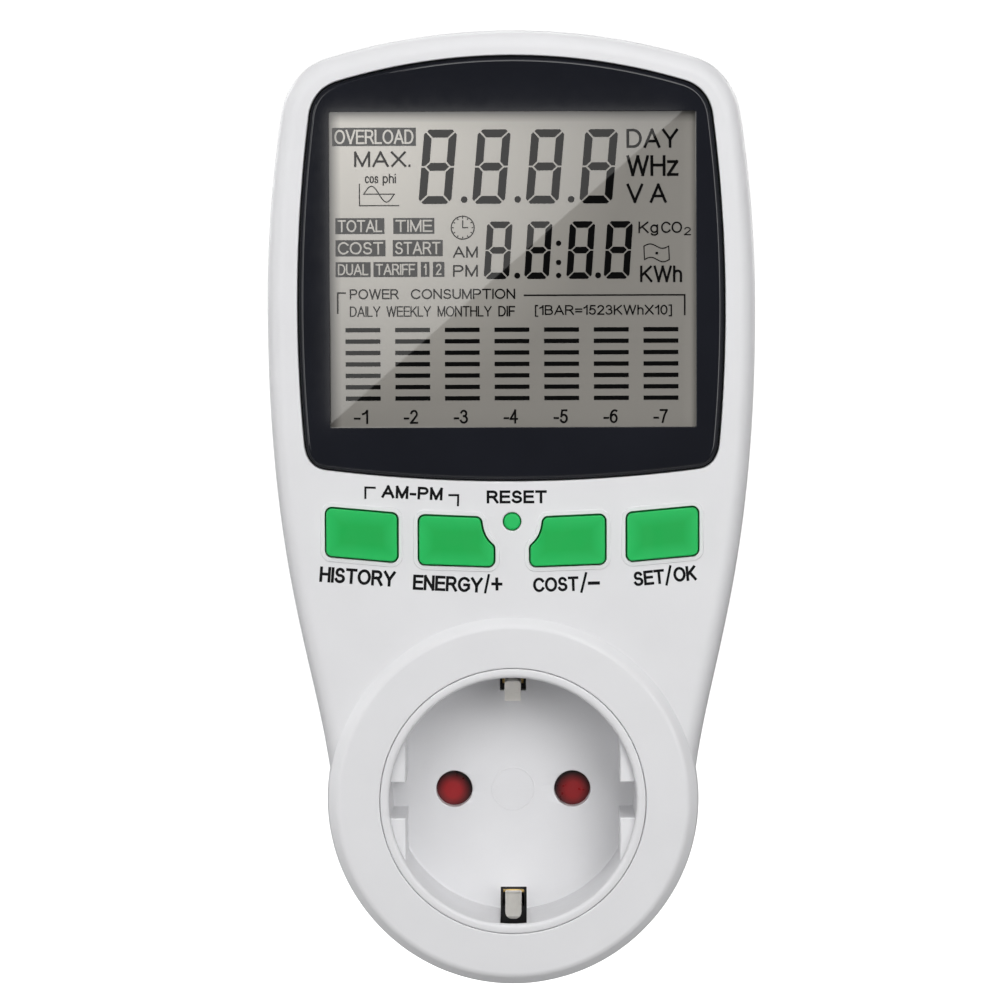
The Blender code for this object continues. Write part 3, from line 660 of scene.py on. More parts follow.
GLYPHS = {
    "A": (0.86, [[(0, 0), (0.43, 1), (0.86, 0)], bar(0.33, 0.72, 0.14)]),
    "B": (0.72, [
        STEM + lobe(0.4, 0.765, 0.25, 0.235) + [(0, 0.53)],
        [(0, 0.53)] + lobe(0.44, 0.265, 0.27, 0.265) + [(0, 0)],
    ]),
    "C": (0.84, [bow(0.46, 0.5, 0.46, 0.5, 38, 322, 24)]),
    "D": (0.78, [STEM + lobe(0.32, 0.5, 0.45, 0.5, 16) + [(0, 0)]]),
    "E": (0.68, [[(0.68, 1), (0, 1), (0, 0), (0.7, 0)], bar(0.53, 0.64)]),
    "F": (0.64, [[(0.64, 1), (0, 1), (0, 0)], bar(0.51, 0.56)]),
    "G": (0.88, [
        bow(0.47, 0.5, 0.47, 0.5, 42, 318, 24) + [(0.88, 0.2), (0.88, 0.47), (0.5, 0.47)],
    ]),
    "H": (0.74, [STEM, [(0.74, 0), (0.74, 1)], bar(0.53, 0.74)]),
    "I": (0.0, [STEM]),
    "K": (0.74, [STEM, [(0.7, 1), (0, 0.36)], [(0.24, 0.58), (0.74, 0)]]),
    "L": (0.58, [[(0, 1), (0, 0), (0.58, 0)]]),
    "M": (0.84, [STEM + [(0.42, 0.03), (0.84, 1), (0.84, 0)]]),
    "N": (0.73, [STEM + [(0.73, 0), (0.73, 1)]]),
    "O": (0.94, [bow(0.47, 0.5, 0.47, 0.5, 0, 360, 32)]),
    "P": (0.7, [STEM + lobe(0.41, 0.735, 0.28, 0.265) + [(0, 0.47)]]),
    "R": (0.78, [
        STEM + lobe(0.43, 0.745, 0.28, 0.255) + [(0, 0.49)],
        [(0.36, 0.49), (0.5, 0.42), (0.78, 0)],
    ]),
    "S": (0.7, [ESS]),
    "T": (0.76, [bar(1, 0.76), [(0.38, 1), (0.38, 0)]]),
    "U": (0.72, [[(0, 1)] + bow(0.36, 0.34, 0.36, 0.34, 180, 360) + [(0.72, 1)]]),
    "V": (0.84, [[(0, 1), (0.42, 0), (0.84, 1)]]),
    "W": (1.18, [[(0, 1), (0.29, 0), (0.59, 1), (0.89, 0), (1.18, 1)]]),
    "X": (0.8, [[(0, 1), (0.8, 0)], [(0.78, 1), (0.02, 0)]]),
    "Y": (0.82, [[(0, 1), (0.41, 0.44), (0.82, 1)], [(0.41, 0.44), (0.41, 0)]]),
    "0": (0.6, [bow(0.3, 0.5, 0.3, 0.5, 0, 360, 28)]),
    "1": (0.3, [[(0, 0.74), (0.17, 0.84), (0.3, 1), (0.3, 0)]]),
    "2": (0.6, [bow(0.3, 0.73, 0.28, 0.27, 165, -38) + [(0.0, 0.0), (0.6, 0.0)]]),
    "3": (0.6, [
        bow(0.28, 0.765, 0.25, 0.235, 160, -80),
        bow(0.28, 0.275, 0.31, 0.275, 88, -158, 16),
    ]),
    "4": (0.64, [[(0.46, 0), (0.46, 1), (0, 0.3), (0.64, 0.3)]]),
    "5": (0.6, [[(0.56, 1), (0.14, 1), (0.06, 0.5)] + bow(0.29, 0.32, 0.3, 0.32, 128, -155, 16)]),
    "6": (0.6, [bow(0.3, 0.32, 0.29, 0.32, 0, 360, 24), bow(0.4, 0.44, 0.4, 0.56, 66, 190)]),
    "7": (0.6, [[(0, 1), (0.6, 1), (0.36, 0.55), (0.2, 0)]]),
    "c": (0.5, [bow(0.27, 0.36, 0.27, 0.36, 42, 318, 18)]),
    "g": (0.54, SMALL_O + [
        [(0.54, 0.72), (0.54, -0.1)] + bow(0.28, -0.08, 0.26, 0.19, 0, -150, 10),
    ]),
    "h": (0.5, [STEM, [(0, 0.42)] + bow(0.25, 0.47, 0.25, 0.25, 150, 0, 10) + [(0.5, 0)]]),
    "i": (0.0, [[(0, 0), (0, 0.66)], [(0, 0.97), (0, 0.99)]]),
    "o": (0.54, SMALL_O),
    "p": (0.54, SMALL_O + [[(0, 0.72), (0, -0.28)]]),
    "s": (0.46, [[(0.66 * x, 0.72 * z) for x, z in ESS]]),
    "z": (0.5, [[(0, 0.72), (0.5, 0.72), (0, 0), (0.52, 0)]]),
    "-": (0.34, [bar(0.36, 0.34)]),
    "=": (0.6, [bar(0.6, 0.6), bar(0.3, 0.6)]),
    ".": (0.0, [[(0, -0.01), (0, 0.02)]]),
    "[": (0.2, [[(0.2, 1.04), (0, 1.04), (0, -0.22), (0.2, -0.22)]]),
    "]": (0.2, [[(0, 1.04), (0.2, 1.04), (0.2, -0.22), (0, -0.22)]]),
}
LETTER_GAP, SPACE = 0.12, 0.3


def split_at_peaks(path):
    """Cut a path where it turns back sharply, so that each run keeps its full width."""
    runs = [[path[0]]]
    for before, here, after in zip(path, path[1:], path[2:]):
        runs[-1].append(here)
        into, out = Vector(here) - Vector(before), Vector(after) - Vector(here)
        if into.length and out.length and into.angle(out) > math.radians(100):
            runs.append([here])
    runs[-1].append(path[-1])
    return runs


def capped(path, reach):
    """Lengthen an open path at both ends, so that its stroke ends square round its last points."""
    first, second, before, last = (Vector(path[i]) for i in (0, 1, -2, -1))
    if (first - last).length < 0.001:
        return path
    start = first + (first - second).normalized() * reach
    end = last + (last - before).normalized() * reach
    return [tuple(start)] + path[1:-1] + [tuple(end)]


def word(text, x0, x1, z0, z1, weight, lean=0.0):
    """Strokes of a word between two limits across, from its baseline to its capitals' height."""
    thick = (z1 - z0) * weight
    strokes, x = [], 0.0
    for letter in text:
        if letter == " ":
            x += SPACE
            continue
        width, parts = GLYPHS[letter]
        strokes += [[(x + u, v) for u, v in part] for part in parts]
        x += width + LETTER_GAP + weight
    length = x - LETTER_GAP - weight
    grow_x = (x1 - x0 - thick) / length if length else 1.0
    grow_z = z1 - z0 - thick
    turn = Matrix.Rotation(math.radians(lean), 2)
    middle = Vector(((x0 + x1) / 2, (z0 + z1) / 2))
    result = []
    for stroke in strokes:
        path = [(x0 + thick / 2 + u * grow_x, z0 + thick / 2 + v * grow_z) for u, v in stroke]
        path = [tuple(middle + turn @ (Vector(p) - middle)) for p in path]
        result += [(capped(run, thick / 2), thick) for run in split_at_peaks(path)]
    return result


def sides_of(path, width, closed=False):
    """The points at either side of a stroke, as a pair for each point of its path."""
    pairs = []
    path = [Vector(p) for p in path]
    for i, here in enumerate(path):
        into = (here - path[i - 1]).normalized() if i or closed else None
        after = path[(i + 1) % len(path)]
        out = (after - here).normalized() if i + 1 < len(path) or closed else None
        way = ((into or out) + (out or into)).normalized()
        lean = max(0.6, way.dot(into or out))
        side = Vector((-way.y, way.x)) * (width / 2 / lean)
        pairs.append((here - side, here + side))
    return pairs


def thickened(path, width):
    """The outline of a stroke along an open path."""
    one, other = zip(*sides_of(path, width))
    return [tuple(p) for p in one + other[::-1]]


def ribbon(bm, path, thick, depth):
    """Add a flat stroke along a path, as a ring if the path closes."""
    closed = (Vector(path[0]) - Vector(path[-1])).length < 0.001
    back, front = depth
    sections = []
    for a, b in sides_of(path[:-1] if closed else path, thick, closed):
        corners = ((a, back), (b, back), (b, front), (a, front))
        sections.append([bm.verts.new(Vector((p.x, y, p.y)) * MM) for p, y in corners])
    skin(bm, sections, closed)
    if not closed:
        bm.faces.new(sections[0][::-1])
        bm.faces.new(sections[-1])


def strokes(name, rows, depth, material):
    """Strokes, each a (path, thickness), united into clean closed bodies."""
    first, rest = bmesh.new(), bmesh.new()
    for i, (path, thick) in enumerate(rows):
        ribbon(rest if i else first, path, thick, depth)
    obj = finish_mesh(name, rest, material)
    helper = finish_mesh(name + "_first", first, material)
    boolean(obj, [helper], "UNION")
    obj.modifiers[0].use_self = True
    return settle(obj)


def segments(x0, z0, width, height, thick, gap, slant):
    """The outlines of the seven parts of a display digit."""
    w, h, t, c = width, height, thick, thick * 0.55
    m = h / 2
    top = [(c / 2, h - c / 2), (t, h - t), (w - t, h - t), (w - c / 2, h - c / 2)]
    top += [(w - c, h), (c, h)]
    upper = [(0, m), (t / 2, m), (t, m + t / 2), (t, h - t), (c / 2, h - c / 2), (0, h - c)]
    middle = [(t / 2, m), (t, m - t / 2), (w - t, m - t / 2)]
    middle += [(w - t / 2, m), (w - t, m + t / 2), (t, m + t / 2)]
    shapes = [top, upper, middle]
    shapes += [[(w - x, z) for x, z in reversed(upper)]]
    shapes += [[(x, h - z) for x, z in reversed(s)] for s in (top, upper, shapes[3])]
    slope = math.tan(math.radians(slant))
    result = []
    for shape in shapes:
        result.append([(x0 + x + z * slope, z0 + z) for x, z in inset(shape, gap / 2)])
    return result


# Housing.


def shell_front():
    profile = [(3.6, FRONT + WALL), (2.7, FRONT + WALL + 0.4), (WALL, FRONT + WALL + 1.3)]
    profile += [(WALL, STEP_Y), (1.0, STEP_Y), (1.0, FRONT_EDGE), (0.25, FRONT_EDGE)]
    profile += [(0.08, FRONT_EDGE - 0.07), (0, FRONT_EDGE - 0.25)]
    rings = stepped(HOUSING, profile) + domed(HOUSING, -44.0, FRONT, FRONT_ROUND, 12)
    shell = loft("shell_front", rings, WHITE)
    crown = [(-52.5, 28.4), (-55.2, 29.1), (-55.45, 29.08), (-55.65, 28.9), (-56.3, 28.1)]
    crown += [(-56.5, 27.85), (-56.65, 27.5), (RING_FRONT, 27.1)]
    joined = [turned("crown", crown, steps=192)]
    for i, outline in enumerate(KEYS.values()):
        rim = domed(inset(outline, -0.95), -54.6, KEY_RIM, 0.12, 4)
        joined.append(loft(f"key_rim_{i}", rim))
    for i, (x, z) in enumerate(BOSSES):
        root = -53.6 if z < WINDOW_LOW_Z else -51.6
        joined.append(rod(f"boss_{i}", 3.1, root, -37.7, x, z, 32))
    for i, x in enumerate((-16.3, 16.3)):
        joined.append(rod(f"post_{i}", 1.9, -53.6, -45.6, x, 33.6))
    boolean(shell, joined, "UNION")
    bore = [(RING_FRONT - 2, 0.3), (RING_FRONT, 0.3), (RING_FRONT + 0.09, 0.09)]
    bore += [(RING_FRONT + 0.3, 0), (-50, 0)]
    reset_hole = [(-57.5, 1.7), (FRONT, 1.7), (FRONT + 0.1, 1.52), (FRONT + 0.25, 1.46)]
    removed = [
        turned("bore", [(y, BORE_R + wider) for y, wider in bore], steps=192),
        flare("window_opening", WINDOW, FRONT, 0.2, -50.0),
        plate("window_pocket", inset(WINDOW, -1.1), (-54.0, -50.5)),
        turned("reset_hole", reset_hole + [(-50, 1.46)], steps=48, z=RESET_Z),
    ]
    for i, outline in enumerate(KEYS.values()):
        removed.append(flare(f"key_hole_{i}", inset(outline, -KEY_GAP), KEY_RIM, 0.06, -50.2, 4))
    for i, (x, z) in enumerate(BOSSES):
        removed.append(rod(f"boss_bore_{i}", 1.6, -47.5, -37.0, x, z))
    boolean(shell, removed, "DIFFERENCE")
    return stands_for(settle(shell), "white_plastic", "front_shell")


def shell_rear():
    profile = [(3.9, BACK - WALL), (2.8, BACK - WALL - 0.4), (WALL, BACK - WALL - 1.6)]
    profile += [(WALL, REAR_LIP), (1.35, REAR_LIP), (1.3, REAR_LIP + 0.1)]
    profile += [(1.3, REAR_EDGE), (0.25, REAR_EDGE), (0.08, REAR_EDGE + 0.07)]
    profile += [(0, REAR_EDGE + 0.25), (0, -30.0)]
    profile += [(BACK_ROUND * a, BACK - BACK_ROUND * b) for a, b in quarter(12)]
    shell = loft("shell_rear", stepped(HOUSING, profile), WHITE_BACK)
    posts = [rod(f"rear_boss_{i}", 3.6, -37.3, -18.5, *boss, 32) for i, boss in enumerate(BOSSES)]
    boolean(shell, posts, "UNION")
    edge = [(-25, 0.3), (BACK - 0.4, 0.3), (BACK - 0.1, 0.42), (BACK, 0.7), (-14, 0.7)]
    edge = [(y, PLUG_R + wider) for y, wider in edge]
    removed = [turned("plug_opening", edge, steps=160)]
    well = [(-24.6, 2.6), (BACK - 0.5, 2.6), (BACK - 0.12, 2.72), (BACK, 3.05), (-15, 3.05)]
    for i, (x, z) in enumerate(BOSSES):
        removed.append(turned(f"well_{i}", well, steps=40, x=x, z=z))
        removed.append(rod(f"way_{i}", 1.7, -38, -24, x, z))
    for i, z in enumerate((64, 70, 76)):
        slot = oblong(-14, 14, z, z + 1.6, 0.78, 8)
        vent = [(0, -22), (0, BACK - 0.35), (-0.1, BACK - 0.1), (-0.35, BACK), (-0.35, -15)]
        removed.append(loft(f"vent_{i}", stepped(slot, vent)))
    boolean(shell, removed, "DIFFERENCE")
    return stands_for(settle(shell), "white_plastic", "rear_shell")


# Display.


def window():
    """Glossy black window with a chamfered edge, open over the display."""
    profile = [(-0.8, WINDOW_Y[1]), (-0.8, FLANGE_Y), (0.3, FLANGE_Y), (0.3, -54.8)]
    profile += [(0.34, -54.94), (0.44, -55.06), (0.76, -55.33), (0.86, -55.385)]
    rings = stepped(WINDOW, profile + [(1.0, WINDOW_Y[0])])
    bezel = loft("window_bezel", rings, GLOSS_BLACK)
    view = flare("view_opening", oblong(*VIEW_LIMITS, 0.2, 4), WINDOW_Y[0], 0.08, -50.0, 3)
    boolean(bezel, [view], "DIFFERENCE")
    stands_for(settle(bezel, 25), "black_gloss", "display_window")


def display_glass():
    """The display, with its face raised towards the opening of the window."""
    (x0, x1), (y0, y1), (z0, z1) = LCD
    body = loft("lcd_panel", domed(oblong(x0, x1, z0, z1, 0.3, 3), y1, y0, 0.12, 3), REFLECTOR)
    wide, high = VIEW_W / 2 + 0.4, VIEW_H / 2 + 0.4
    seen = oblong(VIEW_X - wide, VIEW_X + wide, VIEW_Z - high, VIEW_Z + high, 0.3, 3)
    raised = loft("raised_view", domed(seen, (y0 + y1) / 2, VIEW_FRONT, 0.05, 2))
    boolean(body, [raised], "UNION")
    stands_for(settle(body), "lcd_glass", "lcd_glass")


def mark(name, outlines, depth, material):
    """Separate flat plates in one object."""
    bm = bmesh.new()
    for outline in outlines:
        add_rings(bm, [(outline, y) for y in depth])
    return finish_mesh(name, bm, material)


def wave(u, v, length, rise, steps):
    """One period of a sine, from its start."""
    turns = [i / steps for i in range(steps + 1)]
    return [(u + length * t, v + rise * math.sin(2 * math.pi * t)) for t in turns]


def display_marks():
    """Segments and legends, laid out from the middle of the visible area."""
    low, high = [(VIEW_FRONT - y, VIEW_FRONT - y + 0.04) for y in (0.05, 0.09)]

    def shift(points):
        return [(VIEW_X + u, VIEW_Z + v) for u, v in points]

    def box(u0, u1, v0, v1):
        return shift([(u0, v0), (u1, v0), (u1, v1), (u0, v1)])

    def legend(text, u0, u1, v0, v1, weight):
        return word(text, VIEW_X + u0, VIEW_X + u1, VIEW_Z + v0, VIEW_Z + v1, weight)

    digits = []
    for i in range(4):
        digits += segments(VIEW_X - 14.95 + i * 8.42, VIEW_Z + 10.2, 5.4, 11.9, 1.5, 0.26, 5.0)
    for u, width in ((-4.72, 4.2), (1.65, 4.1), (8.26, 4.2), (14.13, 4.25)):
        digits += segments(VIEW_X + u, VIEW_Z - 1.6, width, 9.25, 1.25, 0.22, 4.0)
    dots = [(u, 11.0, 0.52) for u in (-7.6, 0.8, 9.2)]
    dots += [(0.7, -0.95, 0.47), (13.4, -0.95, 0.47)]
    dots += [(7.2, v, 0.42) for v in (4.1, 1.1, -0.95)]
    digits += [shift(circle(r, 20, u, v)) for u, v, r in dots]
    stands_for(mark("lcd_digits", digits, low, SEGMENT), "lcd_glass")

    bars = []
    for u in (-26.35 + 7.81 * column for column in range(7)):
        bars += [box(u, u + 5.48, v - 0.68, v) for v in (-9.1 - 1.795 * row for row in range(7))]
    stands_for(mark("lcd_bars", bars, low, SEGMENT), "lcd_glass")

    boxes = [
        (19.45, 22.3, {"OVERLOAD": (-28.3, -15.15)}),
        (5.65, 8.15, {"TOTAL": (-27.85, -20.15), "TIME": (-18.75, -12.3)}),
        (2.15, 4.7, {"COST": (-27.85, -20.0), "START": (-18.85, -11.0)}),
        (-1.1, 1.25, {"DUAL": (-27.85, -22.35), "TARIFF": (-21.9, -15.0)}),
        (-1.1, 1.25, {"1": (-14.45, -13.1), "2": (-12.55, -10.75)}),
    ]
    plates, knocked = [], []
    for v0, v1, texts in boxes:
        for text, (u0, u1) in texts.items():
            plates.append(box(u0, u1, v0, v1))
            side = 0.45 if len(text) == 1 else 0.35
            knocked += legend(text, u0 + side, u1 - side, v0 + 0.3, v1 - 0.3, 0.13)
    stands_for(mark("lcd_boxes", plates, low, BOX_TINT), "lcd_glass")
    stands_for(strokes("lcd_box_letters", knocked, high, REFLECTOR), "lcd_glass")

    words = [
        (16.15, 18.6, {"MAX.": (-24.85, -16.0)}),
        (13.6, 15.1, {"cos": (-23.2, -21.05), "phi": (-20.4, -18.3)}),
        (19.0, 22.0, {"DAY": (17.9, 26.0)}),
        (14.6, 17.85, {"WHz": (17.9, 26.0)}),
        (10.4, 13.4, {"V A": (17.9, 24.2)}),
        (1.9, 3.65, {"AM": (-9.4, -5.5)}),
        (-1.1, 0.75, {"PM": (-9.4, -5.5)}),
        (5.65, 7.45, {"Kg": (19.75, 22.85), "CO": (23.3, 26.6)}),
        (5.3, 6.6, {"2": (26.9, 28.0)}),
        (-2.05, 0.55, {"KWh": (20.0, 26.6)}),
        (-4.6, -3.0, {"POWER": (-25.65, -17.95), "CONSUMPTION": (-16.05, 0.35)}),
        (-7.35, -5.7, {"DAILY": (-25.65, -20.85), "WEEKLY": (-19.9, -12.9)}),
        (-7.35, -5.7, {"MONTHLY": (-11.85, -3.35), "DIF": (-2.3, 0.35)}),
        (-7.15, -5.6, {"[1BAR=1523KWhX10]": (3.45, 25.0)}),
        (-24.2, -22.0, {f"-{i + 1}": (-25.1 + i * 7.86, -22.85 + i * 7.86) for i in range(7)}),
    ]
    rows = []
    for v0, v1, texts in words:
        for text, (u0, u1) in texts.items():
            weight = 0.115 if text in ("DAILY", "WEEKLY", "MONTHLY") else 0.14
            rows += legend(text, u0, u1, v0, v1, weight)
    stands_for(strokes("lcd_words", rows, low, SEGMENT), "lcd_glass")

    lines = [
        [(-27.55, -6.85), (-27.55, -3.6), (-26.25, -3.6)],
        [(1.7, -4.05), (27.0, -4.05), (27.0, -7.25)],
        [(-24.05, 13.55), (-24.05, 10.1), (-17.8, 10.1)],
        [(-23.5, 11.9), (-18.45, 11.9)],
    ]
    lines.append(wave(-23.35, 11.9, 4.75, 1.25, 24))
    clock_u, clock_v = clock = (-7.85, 6.6)
    lines.append(arc(clock, 1.8, 0, 360, 40))
    lines.append([(clock_u, clock_v + 1.15), clock, (clock_u + 0.85, clock_v)])
    for hour in range(12):
        lines.append([arc(clock, r, 30 * hour, 0, 1)[0] for r in (1.42, 1.66)])
    note = wave(20.6, 3.6, 3.9, 0.35, 16)
    lines.append(note + [(u + 0.1, v - 2.1) for u, v in reversed(note)] + note[:1])
    rows = [(shift(line), 0.24 if i < 2 else 0.17) for i, line in enumerate(lines)]
    rows.append((shift([(22.42, 2.5), (22.82, 2.5)]), 0.4))
    stands_for(strokes("lcd_lines", rows, low, SEGMENT), "lcd_glass")


# Keys and their legends.


def keys():
    for name, outline in KEYS.items():
        x0, x1 = min(u for u, _ in outline), max(u for u, _ in outline)
        z0, z1 = min(v for _, v in outline), max(v for _, v in outline)
        middle = box_mm(name)
        x, z = (middle[0][0] + middle[0][1]) / 2, (middle[2][0] + middle[2][1]) / 2
        cap = loft("cap_" + name, domed(outline, -52.6, KEY_FRONT, 0.15, 6), KEY_MATERIALS[name])
        flange = plate(name + "_skirt", inset(outline, -0.8), SKIRT_Y[::-1])
        stem = rod(name + "_post", 2.6, -52.6, middle[1][1] - KEY_TRAVEL, x, z, 40)
        boolean(cap, [flange, stem], "UNION")
        stands_for(settle(cap), "green_plastic", name, body=name)
    y0, y1 = box_mm("reset_button")[1]
    r = RESET_R
    back, front = SKIRT_Y
    profile = [(y1 - RESET_TRAVEL, 1.2), (back, 1.2), (back, 2.3), (front, 2.3), (front, r)]
    profile += [(y0 + 0.35, r), (y0 + 0.2, r - 0.04), (y0 + 0.08, r - 0.14), (y0, r - 0.35)]
    button = turned("cap_reset", profile, GREEN, 64, z=RESET_Z)
    stands_for(weigh(button), "green_plastic", "reset_button", body="reset_button")


def legends():
    depth = (FRONT - 0.02, FRONT + 0.01)

    def label(text, x, z, width, height, weight=0.185, lean=0.0):
        limits = (x - width / 2, x + width / 2, z - height / 2, z + height / 2)
        return word(text, *limits, weight, lean)

    rows = label("RESET", 0.75, 48.0, 9.45, 2.05, 0.2)
    rows += label("AM-PM", -15.7, 48.7, 9.6, 2.0, 0.205, -2.75)
    rows += label("HISTORY", -24.35, 35.5, 11.95, 2.45, lean=-4.1)
    rows += label("ENERGY", -10.15, 34.35, 10.95, 2.4, lean=-2.8)
    rows += label("COST", 6.85, 34.2, 7.15, 2.3, lean=1.75)
    rows += label("SET", 21.5, 35.2, 4.9, 2.3, lean=5.5)
    rows += label("OK", 27.15, 35.8, 3.6, 2.35, lean=5.5)
    rows += [([(-3.65, 35.85), (-4.3, 32.8)], 0.38), ([(11.65, 36.1), (10.85, 32.85)], 0.38)]
    rows += [([(24.9, 37.15), (24.25, 33.95)], 0.38), ([(11.9, 34.35), (13.8, 34.4)], 0.52)]
    rows += [([(-3.3, 34.3), (-1.55, 34.25)], 0.46), ([(-2.45, 35.3), (-2.4, 33.25)], 0.46)]
    rows.append(([(-23.05, 47.75), (-23.05, 49.55), (-21.4, 49.5)], 0.33))
    rows.append(([(-10.0, 48.3), (-8.45, 48.3), (-8.5, 46.55)], 0.33))
    stands_for(strokes("key_legends", rows, depth, INK), "black_gloss")


# Socket.


def socket():
    cup = [(FLOOR, 0.5), (FLOOR, SOCKET_R - 0.35), (FLOOR - 0.1, SOCKET_R - 0.1)]
    cup.append((FLOOR - 0.35, SOCKET_R))
    rim = ((0.6, 0), (0.28, 0.08), (0.08, 0.28), (0, 0.6))
    cup += [(RING_FRONT + down, SOCKET_R + out) for down, out in rim]
    rim = ((0, 0.3), (0.08, 0.08), (0.3, 0))
    cup += [(RING_FRONT + down, LIP_R - short) for down, short in rim]
    cup += [(-38.5, LIP_R), (-38.5, 23.5), (FLOOR_BACK, 23.5)]
    insert = turned("socket_cup", cup, WHITE_SOCKET, 192)
    ribs = []
    for side in (-1, 1):
        for end in (-1, 1):
            outline = [(RIB_X, RIB_NOTCH), (20.1, RIB_NOTCH), (17.6, 9.9), (RIB_X, 9.9)]
            outline = quadrant(outline, side, end)
            ribs.append(loft(f"rib_{side}_{end}", domed(outline, -38.4, RIB_FRONT, 0.3, 4)))
    ribs.append(rod("pivot", 1.6, -37.2, -33.6, steps=32))
    raised, sunk = FLOOR - 0.07, FLOOR + 0.2
    mark_ring = [(sunk, 3.55), (raised + 0.04, 3.55), (raised, 3.5)]
    mark_ring += [(raised, 3.32), (raised + 0.04, 3.27), (sunk, 3.27)]
    ribs.append(loft("mark_ring", [(circle(r, 96), y) for y, r in mark_ring], closed=True))
    ribs.append(plate("mark_bar", oblong(-3.4, 3.4, -0.1, 0.1, 0.08, 2), (raised, sunk)))
    boolean(insert, ribs, "UNION")
    removed = []
    for side in (-1, 1):
        hole = [(-41, PIN_HOLE_R + 0.25), (FLOOR, PIN_HOLE_R + 0.25)]
        hole += [(FLOOR + 0.08, PIN_HOLE_R + 0.08), (FLOOR + 0.25, PIN_HOLE_R), (-35, PIN_HOLE_R)]
        removed.append(turned(f"pin_hole_{side}", hole, steps=64, x=side * PIN_X))
        slot = quadrant(oblong(-SLOT_HALF, SLOT_HALF, SLOT_Z, 21.2, 0.12, 3), 1, side)
        gap = quadrant(oblong(-3.5, 3.5, 20.9, 25, 0.1, 2), 1, side)
        removed.append(plate(f"clip_slot_{side}", slot, (-55.7, -36.0)))
        removed.append(plate(f"flange_gap_{side}", gap, (-38.9, -36.0)))
    boolean(insert, removed, "DIFFERENCE")
    stands_for(settle(insert), "white_plastic", "socket_insert")


def shutter():
    edge = [(-35.0, 14.0), (-36.2, 14.0), (-36.34, 13.95), (-36.4, 13.8)]
    disc = turned("shutter_disc", edge, RED)
    hub = rod("hub", 2.7, -35.4, -33.8, steps=48)
    boolean(disc, [hub, rod("peg", 0.8, -35.4, -33.2, -5.6)], "UNION")
    turn = math.radians(SHUTTER_TURN)
    holes = [rod("shutter_bore", 1.9, -38, -30, steps=40)]
    for side in (-1, 1):
        x, z = side * PIN_X * math.cos(turn), side * PIN_X * math.sin(turn)
        holes.append(rod(f"shutter_hole_{side}", 3.2, -38, -30, x, z, 56))
    boolean(disc, holes, "DIFFERENCE")
    stands_for(settle(disc), "red_plastic", "shutter", body="shutter")


def strip(name, path, radius, thick, half_width, material, side=1):
    """A bent metal strip with eased long edges, drawn on its edge as (y, z)."""
    outline = thickened([(y, side * z) for y, z in bent(path, radius)], thick)
    edge = 0.1
    eased = inset(outline, edge)
    rings = [(eased, -half_width), (outline, -half_width + edge)]
    rings += [(outline, half_width - edge), (eased, half_width)]
    return loft(name, rings, material, from_side=True)


def earth_parts():
    for tag, side in (("upper", 1), ("lower", -1)):
        path = [(-31.6, 18.0), (-39.5, 18.0), (-49.4, 15.3), (-53.2, 18.9)]
        clip = strip("clip_" + tag, path, 1.4, 0.6, 1.3, NICKEL, side)
        tip = [(-1.3, 13.0)] + arc((0, 17.9), 1.3, 180, 0, 20) + [(1.3, 13.0)]
        cutter = tip[::-1] + [(-1.3, 12.9), (-3, 12.9), (-3, 22), (3, 22), (3, 12.9), (1.3, 12.9)]
        cutter = [(x, side * z) for x, z in cutter]
        boolean(clip, [plate("tip_cutter", cutter, (-55, -50.8))], "DIFFERENCE")
        stands_for(settle(clip), "nickel", "earth_clip_" + tag, body="earth_clip_" + tag)
        path = [(-10.0, 10.4), (-0.6, 10.4), (-0.6, 15.9), (-15.5, 15.9)]
        piece = strip("side_strip_" + tag, path, 0.8, 0.8, 2.3, PIN_NICKEL, side)
        stands_for(weigh(piece), "nickel", "plug_earth_" + tag)


# Plug.


def plug():
    profile = [(-21.2, 21.5), (-20.0, 21.5), (-20.0, PLUG_R), (-1.5, PLUG_R)]
    for turn in (0.3, 0.6, 0.9, 1.2, 1.4):
        profile.append((-1.5 * (1 - math.sin(turn)), PLUG_R - 1.5 * (1 - math.cos(turn))))
    profile.append((0.0, PLUG_R - 1.5))
    body = turned("plug_insert", profile, WHITE_BACK, 192)
    removed = [plate("plug_hollow", oblong(-14.8, 14.8, -12.2, 12.2, 7.0, 12), (-25, -2.2))]
    removed.append(plate("bridge_way", oblong(-2.6, 2.6, -18.2, 18.2, 0.2, 2), (-22, -19.4)))
    for side in (-1, 1):
        hole = [(-4, 0.25), (-0.3, 0.25), (-0.08, 0.33), (0, 0.55), (1, 0.55)]
        hole = [(y, PIN_R + wider) for y, wider in hole]
        removed.append(turned(f"pin_way_{side}", hole, steps=56, x=side * PIN_X))
        for end in (-1, 1):
            flat = quadrant(oblong(16.4, 20, 2.6, 14, 0.25, 3), side, end)
            removed.append(plate(f"flat_{side}_{end}", flat, (-17.2, 1)))
        for i, (half, near, far, start) in enumerate(
            ((3.0, 15.2, 20, -17.2), (3.0, 9.7, 20, -1.2), (2.7, 9.7, 11.1, -4))
        ):
            slot = quadrant(oblong(-half, half, near, far, 0.15, 2), 1, side)
            removed.append(plate(f"groove_{side}_{i}", slot, (start, 1)))
    boolean(body, removed, "DIFFERENCE")
    stands_for(settle(body), "white_plastic", "plug_body")
    for tag, side in (("neutral", -1), ("live", 1)):
        pin = [(-8.6, 1.6), (-4.9, 1.6), (-4.9, 3.4), (-2.6, 3.4), (-2.6, PIN_R)]
        pin.append((PIN_END - 2.2, PIN_R))
        pin += [(PIN_END - 2.2 * b, PIN_R - (PIN_R - 0.25) * a) for a, b in quarter(8)[1:]]
        obj = turned("pin_" + tag, pin, PIN_NICKEL, 72, x=side * PIN_X)
        stands_for(weigh(obj), "nickel", "plug_pin_" + tag)


# Finishes of the carried-over nodes, by material slot.


